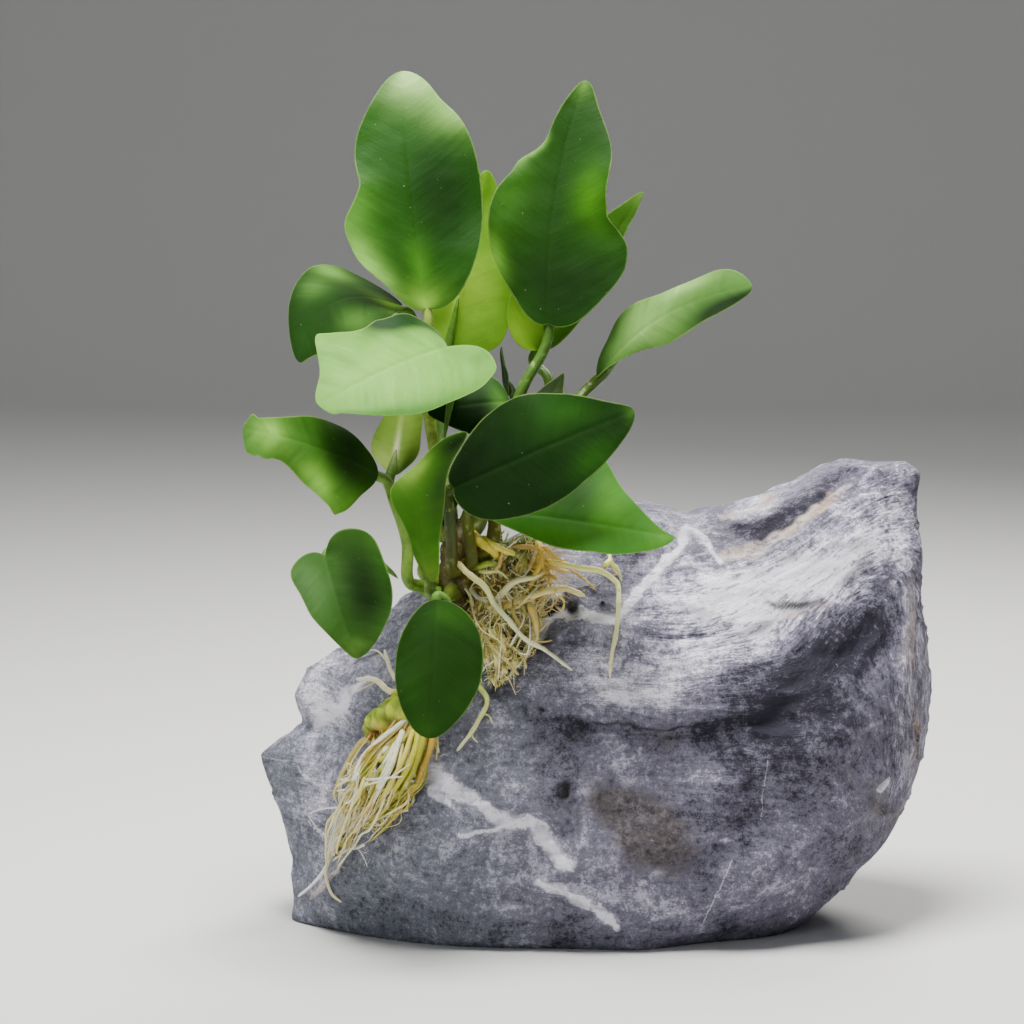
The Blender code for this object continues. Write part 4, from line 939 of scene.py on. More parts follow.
def blade_surface(leaf, across, down):
    """The blade's middle surface on a grid, v across it from -1 to 1 and t down it from 0 to 1.

    The length runs as (1 - cos(pi t)) / 2, so that both ends are round. The midrib is the straight
    line from base to tip plus its arch and bow, each a parabola. The half width and the margin's lift
    are smooth curves through their stations, and the lift grows as |v| to the 1.7. The lobes slide the
    margin back beside the base. With it come the half width and the distance down in mm.
    """
    along, face, right = blade_axes(leaf)
    t, v = np.meshgrid(down, across, indexing="ij")
    u = (1 - np.cos(math.pi * t)) / 2
    stations = np.arccos(1 - 2 * np.array([0, 0.1, 0.3, 0.5, 0.7, 0.9, 1])) / math.pi
    sides = v > 0
    width = np.where(sides, *(hermite(t.ravel(), stations, [0, *row, 0]).reshape(t.shape)
                              for row in (leaf.right, leaf.left)))
    for side, nick_at, size, out in leaf.nicks:
        width = width + out * np.exp(-(((u - nick_at) / size) ** 2)) * (v * side > 0)
    lift = np.where(sides, *(hermite(u.ravel(), [0, 0.2, 0.5, 0.8, 1], [0, *row, 0]).reshape(t.shape)
                             for row in (leaf.lift_right, leaf.lift_left)))
    ripple = np.sin(3 * math.pi * u + 1.5 * np.sign(v)) * np.sin(math.pi * u)
    lift = lift * np.abs(v) ** 1.7 + leaf.wave * v * v * ripple
    turn = math.radians(leaf.twist) * u
    lobe = np.where(sides, leaf.lobes[1], leaf.lobes[0]) * np.abs(v) ** 1.5
    lobe = lobe * (t / LOBE_PEAK) * np.exp(1 - t / LOBE_PEAK)
    hump = 4 * u * (1 - u)
    length = np.linalg.norm(np.subtract(leaf.tip, leaf.base))
    out_right = width * v * np.cos(turn) + leaf.bow * hump
    out_face = width * v * np.sin(turn) + lift + leaf.arch * hump
    points = (np.array(leaf.base) + (length * u - lobe)[..., None] * along
              + out_face[..., None] * face + out_right[..., None] * right)
    return points, width, length * u


blade_look, blade_shader, wire, place = new_material("anubias_blade", 0.1)
fine = place.noise(2400.0, 3.0, 0.6)
mottle = place.noise(230.0, 4.0, 0.6)
flow = attribute(wire, "flow", 1)
streaks = flow.noise(0.55, 4.0, 0.6) * 0.65 + mottle * 0.35
rib = attribute(wire, "rib")
margin = attribute(wire, "margin")
leaf_tint = attribute(wire, "tint", 0)
blade_colour = leaf_tint.mixed(leaf_tint.times(VEIN_LIGHT), streaks.rise(0.5, 0.72) * 0.6)
blade_colour = blade_colour.mixed(leaf_tint.times(VEIN_DARK), streaks.rise(0.5, 0.3) * 0.55)
rib_share = rib.rise(0.9, 0.1) * attribute(wire, "rib_light")
blade_colour = blade_colour.mixed(leaf_tint.times(RIB_LIGHT), rib_share)
# a painted highlight along each blade's rim
rim_highlight_share = (margin + (mottle - 0.5) * 0.5).rise(0.3, 0.05)
blade_colour = blade_colour.mixed(tone(*RIM_HIGHLIGHT_TONE), rim_highlight_share * 0.32)
specks = place.noise(1700.0, 1.0, 0.5).rise(0.78, 0.82)
blade_colour = blade_colour.mixed(tone(*SPECK_TONE), specks * 0.35)
blade_height = streaks * 0.9 + mottle * 0.3 + fine * 0.1
blade_rough = mottle * 0.16 + attribute(wire, "rough") - 0.08
surface(wire, blade_shader, blade_colour, blade_rough, blade_height, 0.16)
through = wire.node("ShaderNodeBsdfTranslucent", {"Color": (*tone(*GLOW_TONE), 1)})
mixed = wire.node("ShaderNodeMixShader", {0: attribute(wire, "glow"), 2: through})
wire.tree.links.new(blade_shader.outputs[0], mixed.link.node.inputs[1])
wire.tree.links.new(mixed.link, wire.tree.nodes["Material Output"].inputs["Surface"])


def make_blade(leaf, seed):
    """Two sheets on the blade's middle surface that meet round its margin."""
    paint = PAINTS[leaf.name]
    half = (1 - np.cos(np.linspace(0, math.pi, BLADE_COLUMNS))) / 2
    across = np.concatenate([-half[:0:-1], half])
    down = np.linspace(0, 1, BLADE_ROWS)
    middle, width, distance = blade_surface(leaf, across, down)
    _, face, _ = blade_axes(leaf)
    v = np.broadcast_to(across, width.shape)
    u = distance / distance.max()
    outward = unit(np.cross(np.gradient(middle, axis=0), np.gradient(middle, axis=1)))
    outward *= np.sign(np.sum(outward[2:-2] * face))
    outward[0], outward[-1] = outward[1], outward[-2]
    rib = width * np.abs(v)
    ends = np.sqrt(np.clip(np.sin(math.pi * np.linspace(0, 1, len(down))), 0, 1))[:, None]
    thick = BLADE_HALF * np.sqrt(np.clip(1 - v**6, 0, 1)) * (1 - 0.45 * np.abs(v)) * ends
    swell = 0.3 * lattice_noise(middle, 9, seed) + 0.14 * lattice_noise(middle, 4, seed + 50)
    ruffle = (swell * np.clip(np.sin(math.pi * u) * 3, 0, 1) * (0.35 + 0.65 * np.abs(v)))[..., None]
    groove = RIB_SUNK * np.exp(-((rib / 0.5) ** 2)) * ends * (1 - 0.6 * u)
    ridge = RIB_RISE * np.exp(-((rib / 0.6) ** 2)) * ends * (1 - 0.75 * u)
    upper = middle + outward * (ruffle + (thick - groove)[..., None])
    lower = middle + outward * (ruffle - (thick + ridge)[..., None])
    tint = np.broadcast_to(tone(*paint.upper), middle.shape)
    # the patches: the blade's own tones, painted sheen and painted shade
    for colour, at_u, at_v, size_u, size_v, strength in paint.patches:
        cover = np.clip(strength * spot(u, v, (at_u, at_v), size_u, size_v), 0, 1)
        tint = blend(tint, tone(*colour), cover)
    bright = tint @ (0.21, 0.72, 0.07)
    tint = tint * np.clip((bright / bright.mean()) ** PAINT_CONTRAST, 0.6, 1.5)[..., None]
    under = blend(tint, tone(*paint.under), np.full(u.shape, paint.back))
    flow = np.stack([distance - 0.45 * np.maximum(rib, 0) ** 1.15, 0.16 * rib + 9 * np.sign(v),
                     np.full(v.shape, 7.0 * seed)], -1)
    rows, columns = u.shape
    faces = grid_faces(rows, columns)
    both_faces = np.concatenate([faces, faces[:, ::-1] + rows * columns])
    add_piece(
        "blade_" + leaf.name, np.stack([upper, lower]), both_faces,
        blade_look, ["leaf_" + leaf.name],
        {
            "tint": with_alpha(np.stack([tint, under])),
            "rib": np.stack([rib, rib]),
            "rib_light": np.stack([0.16 * np.clip(1 - 1.6 * u, 0.08, 1), 0.75 * (1 - 0.5 * u)]),
            "margin": np.tile(width * (1 - np.abs(v)), (2, 1, 1)),
            "flow": np.stack([flow, flow + 40]),
            "glow": np.full((2, rows, columns), paint.glow),
            "rough": np.full((2, rows, columns), paint.rough),
        },
    )


for number, leaf in enumerate(LEAVES):
    make_blade(leaf, 200 + number)

# ---- stalks ------------------------------------------------------------------------------------
# One round stalk to each blade, sheathed and swollen where it leaves the rhizome, running on under
# the blade as its midrib. Green above and pale yellow-green at the foot.
STALK_FOOT, STALK_NECK = 1.25, 0.95  # radii where it leaves the rhizome and below the blade
STALK_GAP = 0.3  # what the solids keep free between pieces that touch in life
STALK_POINTS, STALK_AROUND = 90, 20
SHEATH_RISE, STALK_RIBS = 0.45, 7
STALK_UNDER = (1.15, 1.0, 0.6)  # how far behind the blade's middle it runs on, at three places
# the first colour is painted shade on the lower side of each stalk
STALK_PAINTED_SHADE, STALK_BROWN, STALK_LIGHT = (70, 104, 30), (60, 66, 18), (196, 210, 120)
STALK_TINTS = {  # neck and foot; the rest take the first row
    "": ((96, 138, 48), (150, 172, 74)),
    "top_left": ((154, 180, 74), (140, 160, 60)),
    "middle": ((24, 50, 12), (50, 80, 24)),
    "front_right": ((44, 58, 8), (98, 84, 26)),
    "top_right": ((60, 98, 26), (100, 112, 34)),
    "far_right": ((54, 76, 14), (102, 88, 26)),
    "low_right": ((60, 70, 12), (102, 86, 26)),
    "back_right": ((70, 106, 30), (104, 132, 50)),
    "young_back": ((26, 52, 16), (60, 84, 30)),
    "low_left": ((88, 132, 52), (168, 190, 92)),
    "centre": ((84, 112, 34), (96, 96, 32)),
    "low_centre": ((84, 128, 44), (112, 112, 40)),
    "mid_left": ((124, 160, 66), (112, 156, 48)),
}


def rhizome_foot(share, toward, clear):
    """The point off the rhizome's skin at share of its length, on the side that toward points to."""
    here, ahead = rhizome_axis([share, share + 0.01])
    along = unit(ahead - here)
    out = unit(toward - along * np.dot(toward, along))
    return here + out * (float(rhizome_radius(share)) + clear), out


def make_stalk(leaf, material):
    """From inside the rhizome's skin through its points, then under the blade and thinning."""
    along, face, _ = blade_axes(leaf)
    foot, out = rhizome_foot(leaf.foot, np.array([*leaf.side, 0.0]), STALK_GAP + SHEATH_RISE)
    base = np.array(leaf.base)
    length = np.linalg.norm(np.subtract(leaf.tip, leaf.base))
    in_line = max(0.25, float(np.dot(unit(base - (leaf.via or (foot,))[-1]), along)))
    neck = base - along * 3 * in_line - face * (1.2 + 0.3 * max(leaf.lobes))
    middle, _, _ = blade_surface(leaf, [0], np.arccos(1 - 2 * np.array([0.04, 0.14, 0.3])) / math.pi)
    under = middle[:, 0] - face * np.array(STALK_UNDER)[:, None]
    path = [foot - out * 1.6, foot, foot + out * 1.6 + (0, 0, 0.8), *leaf.via, neck, *under]
    path = smooth_path(path, STALK_POINTS)
    on_blade = np.clip(np.sum((path - base) * along, -1) / length, 0, 1)
    share = np.linspace(0, 1, STALK_POINTS)
    radii = STALK_FOOT + (STALK_NECK - STALK_FOOT) * share
    radii = radii + SHEATH_RISE * np.exp(-((share / 0.09) ** 2))
    radii = radii * np.clip(1 - on_blade / 0.3, 0, 1) ** 0.55
    radii[0] = 0
    grid, ring = sweep(path, radii, STALK_AROUND)
    ribs = 0.03 * np.cos(STALK_RIBS * np.linspace(0, 2 * math.pi, STALK_AROUND, endpoint=False))
    ribs = ribs + 0.1 * lattice_noise(grid, 4, 301)
    grid += ring * (np.clip(radii, 0, 1)[:, None] * ribs)[..., None]
    neck_tint, foot_tint = STALK_TINTS.get(leaf.name, STALK_TINTS[""])
    tint = blend(tone(*foot_tint), tone(*neck_tint), np.clip(share * 2.2, 0, 1))
    tint = blend(tint, tone(*PAINTS[leaf.name].under), np.clip(on_blade * 5, 0, 1) * 0.6)
    tint = np.repeat(tint[:, None], STALK_AROUND, 1)
    # painted shade on each stalk's lower side
    tint = blend(tint, tone(*STALK_PAINTED_SHADE), 0.35 * step(-ring[..., 2] - 0.2, 0.3))
    add_piece("stem_" + leaf.name, grid, grid_faces(*grid.shape[:2], wrap=True), material,
              ["stalk_" + leaf.name], {"tint": with_alpha(tint)})


stalk_look, stalk_shader, wire, place = new_material("anubias_stalk", 0.25)
mottle = place.noise(500.0, 4.0, 0.6)
stalk_colour = attribute(wire, "tint", 0).mixed(tone(*STALK_BROWN), mottle.rise(0.46, 0.7) * 0.45)
stalk_colour = stalk_colour.mixed(tone(*STALK_LIGHT), mottle.rise(0.45, 0.28) * 0.3)
surface(wire, stalk_shader, stalk_colour, mottle * 0.2 + 0.36, mottle, 0.12)
for leaf in LEAVES:
    make_stalk(leaf, stalk_look)

# ---- roots -------------------------------------------------------------------------------------
# Long cream roots from the rhizome onto the stone, a little knotted, thinning to pale tips that
# cling to the rock, with a few side rootlets.
Root = namedtuple("Root", "name radius foot path")
# radius, where it leaves the rhizome, and x, z and distance before the stone of the points on its way
ROOTS = (
    Root("long_front", 0.6, 0.83,
         ((-28, 75.6, 10), (-26, 74.4, 13.6), (-23.4, 72.2, 13.6), (-21, 68.2, 12.4), (-18, 64.9, 11),
          (-15.2, 62, 9), (-10.7, 59, 3.6), (-5.8, 55.3, 1.2))),
    Root("arching", 0.66, 0.79,
         ((-19, 76, 3.5), (-13, 75.6, 5), (-8.9, 75.3, 7), (-5.7, 74.9, 7.4), (-2.4, 74.3, 7.4),
          (0.5, 73.5, 7), (2.5, 71.7, 6.4), (3.1, 68.7, 5.4), (2.8, 64.9, 3.6), (2.1, 61.1, 2.4),
          (1.5, 57.1, 1.4), (1.3, 53.7, 1.1))),
    Root("stub_right", 0.9, 0.64,
         ((-22.5, 66, 5), (-18, 67.5, 9), (-15.2, 68.8, 9.4), (-10.7, 70.2, 7.6), (-7.4, 70.4, 5.6),
          (-3.3, 68.7, 2.2))),
    Root("low_right", 0.56, 0.45,
         ((-25, 53, 3.4), (-22.2, 49.2, 2), (-24.2, 45.2, 1.6), (-28.3, 39.4, 1.3))),
    Root("short_right", 0.6, 0.3, ((-33.4, 44, 2), (-31.8, 38.8, 1.4))),
    Root("left", 0.66, 0.2, ((-41.8, 49.6, 3), (-44.2, 51.4, 1.8), (-48.2, 51.6, 1.3))),
    Root("left_thin", 0.5, 0.3, ((-40.4, 52, 2.6), (-42.6, 57.4, 1.2))),
)
ROOT_TINTS = {  # near the rhizome, halfway, tip
    "long_front": ((198, 190, 108), (232, 218, 158), (244, 212, 176)),
    "arching": ((206, 214, 92), (224, 226, 126), (226, 196, 160)),
    "stub_right": ((206, 174, 82), (222, 186, 106), (232, 204, 150)),
    "low_right": ((140, 166, 56), (176, 182, 104), (200, 196, 152)),
    "short_right": ((170, 156, 92), (196, 184, 132), (212, 204, 170)),
    "left": ((188, 180, 120), (208, 198, 156), (222, 214, 186)),
    "left_thin": ((192, 182, 130), (210, 202, 164), (222, 214, 190)),
}
# side rootlets that ride with a root: its name, radius, and x, z and distance of the points
ROOTLETS = (
    ("stub_right", 0.62, ((-14, 67.6, 8.6), (-13, 64, 7), (-12.8, 60.6, 3.4))),
    ("stub_right", 0.26, ((-8.6, 69.4, 7), (-7.6, 68.4, 5.4), (-7.9, 66.6, 4), (-9, 66.9, 3.4))),
    ("stub_right", 0.2, ((-13, 62.6, 5.6), (-11.4, 63.4, 4), (-10.4, 64.6, 3))),
    ("stub_right", 0.18, ((-12.9, 60.8, 4), (-11.2, 60.6, 3), (-9.8, 60.8, 2))),
    ("long_front", 0.17, ((-15.8, 62, 9), (-17.6, 58.8, 6), (-20.2, 57.8, 6), (-22.4, 60, 6),
                          (-24.6, 63.6, 6), (-25.4, 67.4, 6))),
    ("long_front", 0.14, ((-20, 65.4, 9), (-21.8, 62, 7), (-20.6, 60.2, 6))),
    ("long_front", 0.13, ((-24.4, 66.4, 7), (-23.4, 62.2, 6), (-21.8, 60.4, 6))),
    ("arching", 0.5, ((0.4, 75, 6.6), (1.4, 75.6, 4), (1.2, 77.4, 2))),
    ("arching", 0.4, ((1.2, 75.4, 4.6), (3, 73.6, 3), (3.8, 71, 1.4))),
    ("left_thin", 0.22, ((-41.4, 54.4, 2), (-44.4, 57.2, 1), (-46.6, 57, 0.6))),
    ("left", 0.2, ((-44.2, 51.2, 2), (-47.4, 49.4, 1), (-49, 48.6, 0.5))),
    ("low_right", 0.22, ((-23.4, 47.2, 2), (-22, 46.6, 1.4), (-21.4, 45, 0.6))),
    ("low_right", 0.2, ((-25.4, 44, 1.8), (-25.2, 42.4, 1.4), (-24.2, 41.2, 0.6))),
    ("low_right", 0.3, ((-23.6, 51, 2.4), (-23.9, 52.6, 2.6), (-24.9, 54.6, 3))),
)
ROOT_POINTS, ROOT_AROUND = 90, 14
ROOT_LIFT = (1.28, 1.32, 1.3)  # how much lighter a root's thin skin shows than its tint
ROOT_MOST = 0.84  # and the lightest that it gets
ROOT_BROWN, ROOT_WHITE = (132, 96, 48), (240, 236, 220)


def paled(tints, lift):
    """The tints times the lift, up to a limit: how the thin, half clear skin of a root shows them."""
    return np.minimum(tints * lift, ROOT_MOST)


def strand_radii(points, radius, blunt=0.35):
    """Full at the start and thinning to the tip, closed and rounded at both ends."""
    share = np.linspace(0, 1, points)
    radii = radius * (1.1 - 0.5 * share) * np.clip((1 - share) / 0.06, 0, 1) ** blunt
    radii[..., 0] = 0
    return radii


def make_root(root, material):
    """The root from inside the rhizome's skin along its path, and the rootlets that ride with it."""
    path = [before_stone(*row) for row in root.path]
    foot, out = rhizome_foot(root.foot, path[0] - rhizome_axis(root.foot)[0], 0.2)
    path = smooth_path([foot - out * 1.4, foot, *path], ROOT_POINTS)
    share = np.linspace(0, 1, ROOT_POINTS)
    wander = np.stack([lattice_noise(path, 6, k) for k in (311, 313, 317)])
    path += (0.5 * np.sin(math.pi * share) * wander).T
    lines, widths = [path], [root.radius]
    for name, radius, points in ROOTLETS:
        if name == root.name:
            lines.append(smooth_path([before_stone(*row) for row in points], ROOT_POINTS))
            widths.append(radius)
    lines = np.stack(lines)
    radii = np.stack([strand_radii(ROOT_POINTS, width) for width in widths])
    grid, ring = sweep(lines, radii, ROOT_AROUND)
    knots = lattice_noise(grid, 2.2, 331) * 0.24 + lattice_noise(grid, 0.9, 337) * 0.12
    grid += ring * (knots * np.clip(radii, 0, 1)[..., None])[..., None]
    near, halfway, tip = (tone(*row) for row in ROOT_TINTS[root.name])
    tint = blend(blend(near, halfway, np.clip(share * 2, 0, 1)), tip, np.clip(share * 2 - 1, 0, 1))
    tint = np.broadcast_to(tint[None, :, None], grid.shape)
    faces = grid_faces(ROOT_POINTS, ROOT_AROUND, wrap=True)
    faces = (faces + np.arange(len(lines))[:, None, None] * ROOT_POINTS * ROOT_AROUND).reshape(-1, 4)
    values = {"tint": with_alpha(paled(tint, ROOT_LIFT))}
    add_piece("fibre_" + root.name, grid, faces, material, ["root_" + root.name], values)


root_look, root_shader, wire, place = new_material("anubias_root", 0.35)
mottle = place.noise(700.0, 4.0, 0.6)
root_colour = attribute(wire, "tint", 0).mixed(tone(*ROOT_BROWN), mottle.rise(0.54, 0.78) * 0.5)
root_colour = root_colour.mixed(tone(*ROOT_WHITE), mottle.rise(0.44, 0.26) * 0.45)
surface(wire, root_shader, root_colour, mottle * 0.2 + 0.45, mottle, 0.14)
for root in ROOTS:
    make_root(root, root_look)

# ---- root masses -------------------------------------------------------------------------------
# The roots too many and too fine to part: a tuft of long pale ones that hangs from the rhizome's
# old end down the channel, and a curly brown-yellow mat with downy hairs below the crown.
LOW_BUNDLE = (  # x, z, distance before the stone, half width and half depth
    (-40.6, 39.6, 5.6, 5.6, 2.8), (-43.8, 32.6, 7.6, 6.4, 3.1), (-48.8, 23.5, 7.2, 4.4, 2.6),
    (-52.6, 15.6, 3.8, 2.4, 1.7), (-53.8, 10, 1.9, 1, 0.9),
)
TOP_TANGLE = (
    (-14.4, 80.5, 4.2, 3.6, 2), (-16, 76, 4.8, 5.4, 2.6), (-17.6, 69, 5.7, 6.2, 2.8),
    (-18.6, 61, 5.4, 4.8, 2.7), (-20, 55.5, 3.8, 3, 1.9), (-20.6, 52, 2.6, 1.3, 0.9),
)
# the openings are painted near-black, as the shade inside them
MAT_GAPS = (  # x, z and size of the dark openings in the mat
    (-20, 71.2, 1.7), (-16.4, 60.4, 1.3), (-17.8, 74.6, 1.2), (-22.8, 66, 1.0), (-18.2, 64.6, 0.9),
)
GAP_SHADE_TONE, DEEP_GAP_SHADE_TONE, GREEN_TOP_TONE = (22, 16, 8), (14, 10, 6), (66, 84, 22)
# the hearts' tones run from painted shade in the deepest hollows to painted light on the highest humps
TUFT_HEART_SHADED_TONES = ((24, 19, 6), (70, 60, 20), (132, 118, 44), (170, 156, 70))  # deepest hollow to hump
MAT_HEART_SHADED_TONES = ((20, 16, 6), (74, 64, 20), (136, 122, 46), (176, 158, 76), (204, 188, 120))
MASS_LIFT = (1.42, 1.5, 1.72)  # how much lighter than their tones these thinner roots show
TUFT_POINTS, TUFT_AROUND, MAT_POINTS, MAT_AROUND = 36, 8, 40, 7
HEART_POINTS, HEART_AROUND = 130, 84
HAIR_POINTS, HAIR_AROUND, HAIR_LENGTH = 6, 3, 1.8
TUFT_HAIR_RADIUS, MAT_HAIR_RADIUS = 0.04, 0.045
TUFT_HAIRS, MAT_HAIRS = 500, 1500
MAT_FUZZ = 1100  # hairs that stand on the mat's heart
FRINGE, FRINGE_PLACE, FRINGE_SPREAD = 260, (-11.6, 75.2, 7.6), (1.8, 0.6, 2.4)  # a brush to the right
TUFT_HAIR_TONE, MAT_HAIR_TONE, FRINGE_TONE = (226, 218, 180), (216, 198, 136), (196, 166, 78)
# strands strewn at random: how many, the points that each goes through, how far those stray in mm and
# in turn, the shares of the mass's length at which they begin and end, how far out they lie, the share
# of them on the outer side, their radius as least, more and power of a random share, their colour
# near the rhizome and far off, the palette that it is mixed with, and where they leave the rhizome:
# the shares of its length, the way off it, and the spread of that way
Strewn = namedtuple(
    "Strewn", "count knots stray curl begin end fill outer radius near far palette feet"
)
TUFT_FILM = Strewn(
    24, 6, 0.25, 0.1, (0, 0.05), (0.3, 0.62), (0.7, 1.1), 0.6, (0.12, 0.32, 1),
    (148, 144, 40), (176, 162, 64),
    ((158, 152, 44), (134, 138, 38), (184, 168, 66), (170, 124, 44)),
    ((0.16, 0.36), (0.5, -0.5, -1), 0.3),
)
TUFT_LONG = Strewn(
    50, 6, 0.35, 0.12, (0, 0.08), (0.35, 0.88), (0.5, 1.15), 0.75, (0.08, 0.34, 2),
    (196, 180, 96), (232, 222, 184),
    ((216, 204, 140), (236, 228, 194), (184, 168, 80), (208, 194, 120), (240, 234, 208),
     (164, 140, 60)),
    ((0.03, 0.26), (-0.1, -0.6, -1), 0.35),
)
MAT_BODY = Strewn(
    40, 6, 0.5, 0.2, (0, 0.25), (0.5, 1.0), (0.7, 1.05), 0.8, (0.18, 0.42, 1.6),
    (128, 112, 40), (176, 156, 84),
    ((162, 142, 62), (132, 116, 40), (190, 168, 90), (120, 100, 36), (186, 140, 70)),
    ((0.5, 0.97), (1, -0.5, -0.1), 0.4),
)
MAT_CURLS = Strewn(
    80, 7, 1.0, 0.4, (0, 0.6), (0.3, 1.0), (0.8, 1.3), 0.85, (0.06, 0.14, 1.6),
    (200, 180, 104), (222, 206, 150),
    ((210, 190, 116), (230, 218, 168), (186, 146, 84), (212, 168, 108), (238, 228, 194),
     (170, 156, 70)),
    None,
)
# strands that can be told apart: radius, colour, and x, z and distance before the stone of each point
TUFT_STRANDS = (
    (0.7, (176, 158, 84), ((-45, 41, 5), (-47, 39.4, 4), (-50, 34.6, 3), (-52.4, 29, 2),
                           (-52.8, 27.6, 1))),
    (0.5, (240, 232, 196), ((-41.6, 41.4, 7), (-43.4, 39.2, 9), (-47.5, 34.5, 8), (-50.1, 28, 6),
                            (-52.7, 19.9, 3), (-54.2, 15.6, 1))),
    (0.46, (232, 224, 184), ((-40.6, 42, 7), (-42.4, 39.6, 9.5), (-46.2, 35.2, 8.5), (-49, 28.8, 7),
                             (-51.7, 21.3, 4), (-53.7, 16.1, 1.4))),
    (0.62, (226, 212, 160), ((-38.4, 44, 7), (-39.5, 41.5, 9), (-40.9, 37.5, 10.5), (-43.9, 31.5, 10),
                             (-46.5, 25.3, 8), (-50.1, 20, 5), (-53.1, 16, 1.6))),
    (0.45, (216, 206, 150), ((-39, 43, 7), (-40.2, 40.6, 9), (-41.9, 36.8, 10), (-44.9, 31, 9),
                             (-47.5, 24.8, 7), (-50.6, 19.6, 4))),
    (0.62, (164, 156, 42), ((-35.6, 44.4, 6), (-36, 41.6, 8), (-37.5, 37.5, 9), (-39.9, 33.3, 8),
                            (-42.9, 27.5, 5), (-45.4, 23.6, 2))),
    (0.66, (138, 134, 30), ((-34.6, 44.4, 6), (-35, 41.2, 8), (-36.5, 37, 8), (-38.9, 32.3, 6),
                            (-41.9, 28, 3))),
    (0.66, (160, 128, 40), ((-33, 44, 5), (-33.1, 41.4, 6), (-35, 36.6, 5), (-36.2, 33.2, 4),
                            (-39.2, 29.8, 2.6), (-42.8, 26.2, 2), (-45.6, 22.9, 1))),
    (0.5, (184, 170, 62), ((-36.6, 44, 7), (-37.5, 41.6, 9), (-38.9, 38, 10), (-41.4, 33.4, 9.4),
                           (-44.4, 27.4, 7), (-47, 22.6, 4.6))),
    (0.36, (236, 230, 200), ((-40, 41.6, 8), (-41.4, 39, 9.4), (-43.9, 35.4, 9.6), (-47, 29, 8),
                             (-50.1, 22.8, 5), (-52.1, 18.2, 3))),
    (0.36, (204, 190, 116), ((-38.6, 43, 7), (-39.6, 37, 9), (-42, 31.4, 8.6), (-45.8, 25.4, 6),
                             (-48.6, 21, 3))),
    (0.32, (166, 150, 66), ((-43.6, 41, 6), (-46.6, 36, 5.4), (-49.4, 31.4, 4), (-51.6, 25.6, 2.4))),
    (0.26, (236, 230, 202), ((-51.1, 31.9, 4), (-48, 33.6, 9), (-44.9, 34.6, 11.6),
                             (-38.4, 35.8, 10.4))),
    (0.2, (230, 224, 190), ((-52.1, 29.5, 3), (-45.4, 33.5, 11.6), (-40.9, 35.6, 11.4),
                            (-37, 38.2, 10))),
    (0.2, (228, 226, 206), ((-50, 27, 5), (-52.1, 26.2, 3), (-55.2, 25.4, 1), (-57.8, 24.4, 0.4))),
    (0.13, (196, 198, 184), ((-57.8, 24, 0.4), (-56.3, 21.8, 0.5), (-54.8, 19.6, 0.8))),
    (0.42, (196, 182, 136), ((-53, 17, 2), (-53.9, 15, 1.6), (-54.4, 12.3, 0.9), (-54.1, 10.6, 0.7),
                             (-53.1, 8.3, 0.5), (-51.1, 6.9, 0.3))),
    (0.4, (236, 222, 200), ((-53.2, 16.4, 1.6), (-54.2, 14, 1), (-55.6, 11.8, 0.6), (-57.8, 9.4, 0.4),
                            (-60, 7.6, 0.2))),
    (0.26, (222, 212, 174), ((-46.4, 20, 3), (-47.9, 18.7, 2), (-50, 17.7, 1.6), (-53.1, 15, 1))),
    (0.13, (226, 222, 196), ((-49, 19, 2), (-47.6, 18.2, 1), (-46.4, 16.6, 0.5), (-45.9, 15.2, 0.3))),
    (0.3, (170, 160, 90), ((-32.6, 45, 4), (-32.1, 42.4, 3), (-32.1, 40, 2), (-32.3, 37.4, 1))),
    (0.16, (230, 224, 196), ((-49.8, 33.4, 5), (-49, 34.8, 6.6), (-47.6, 34.6, 7.4), (-46.6, 33, 7.4))),
)
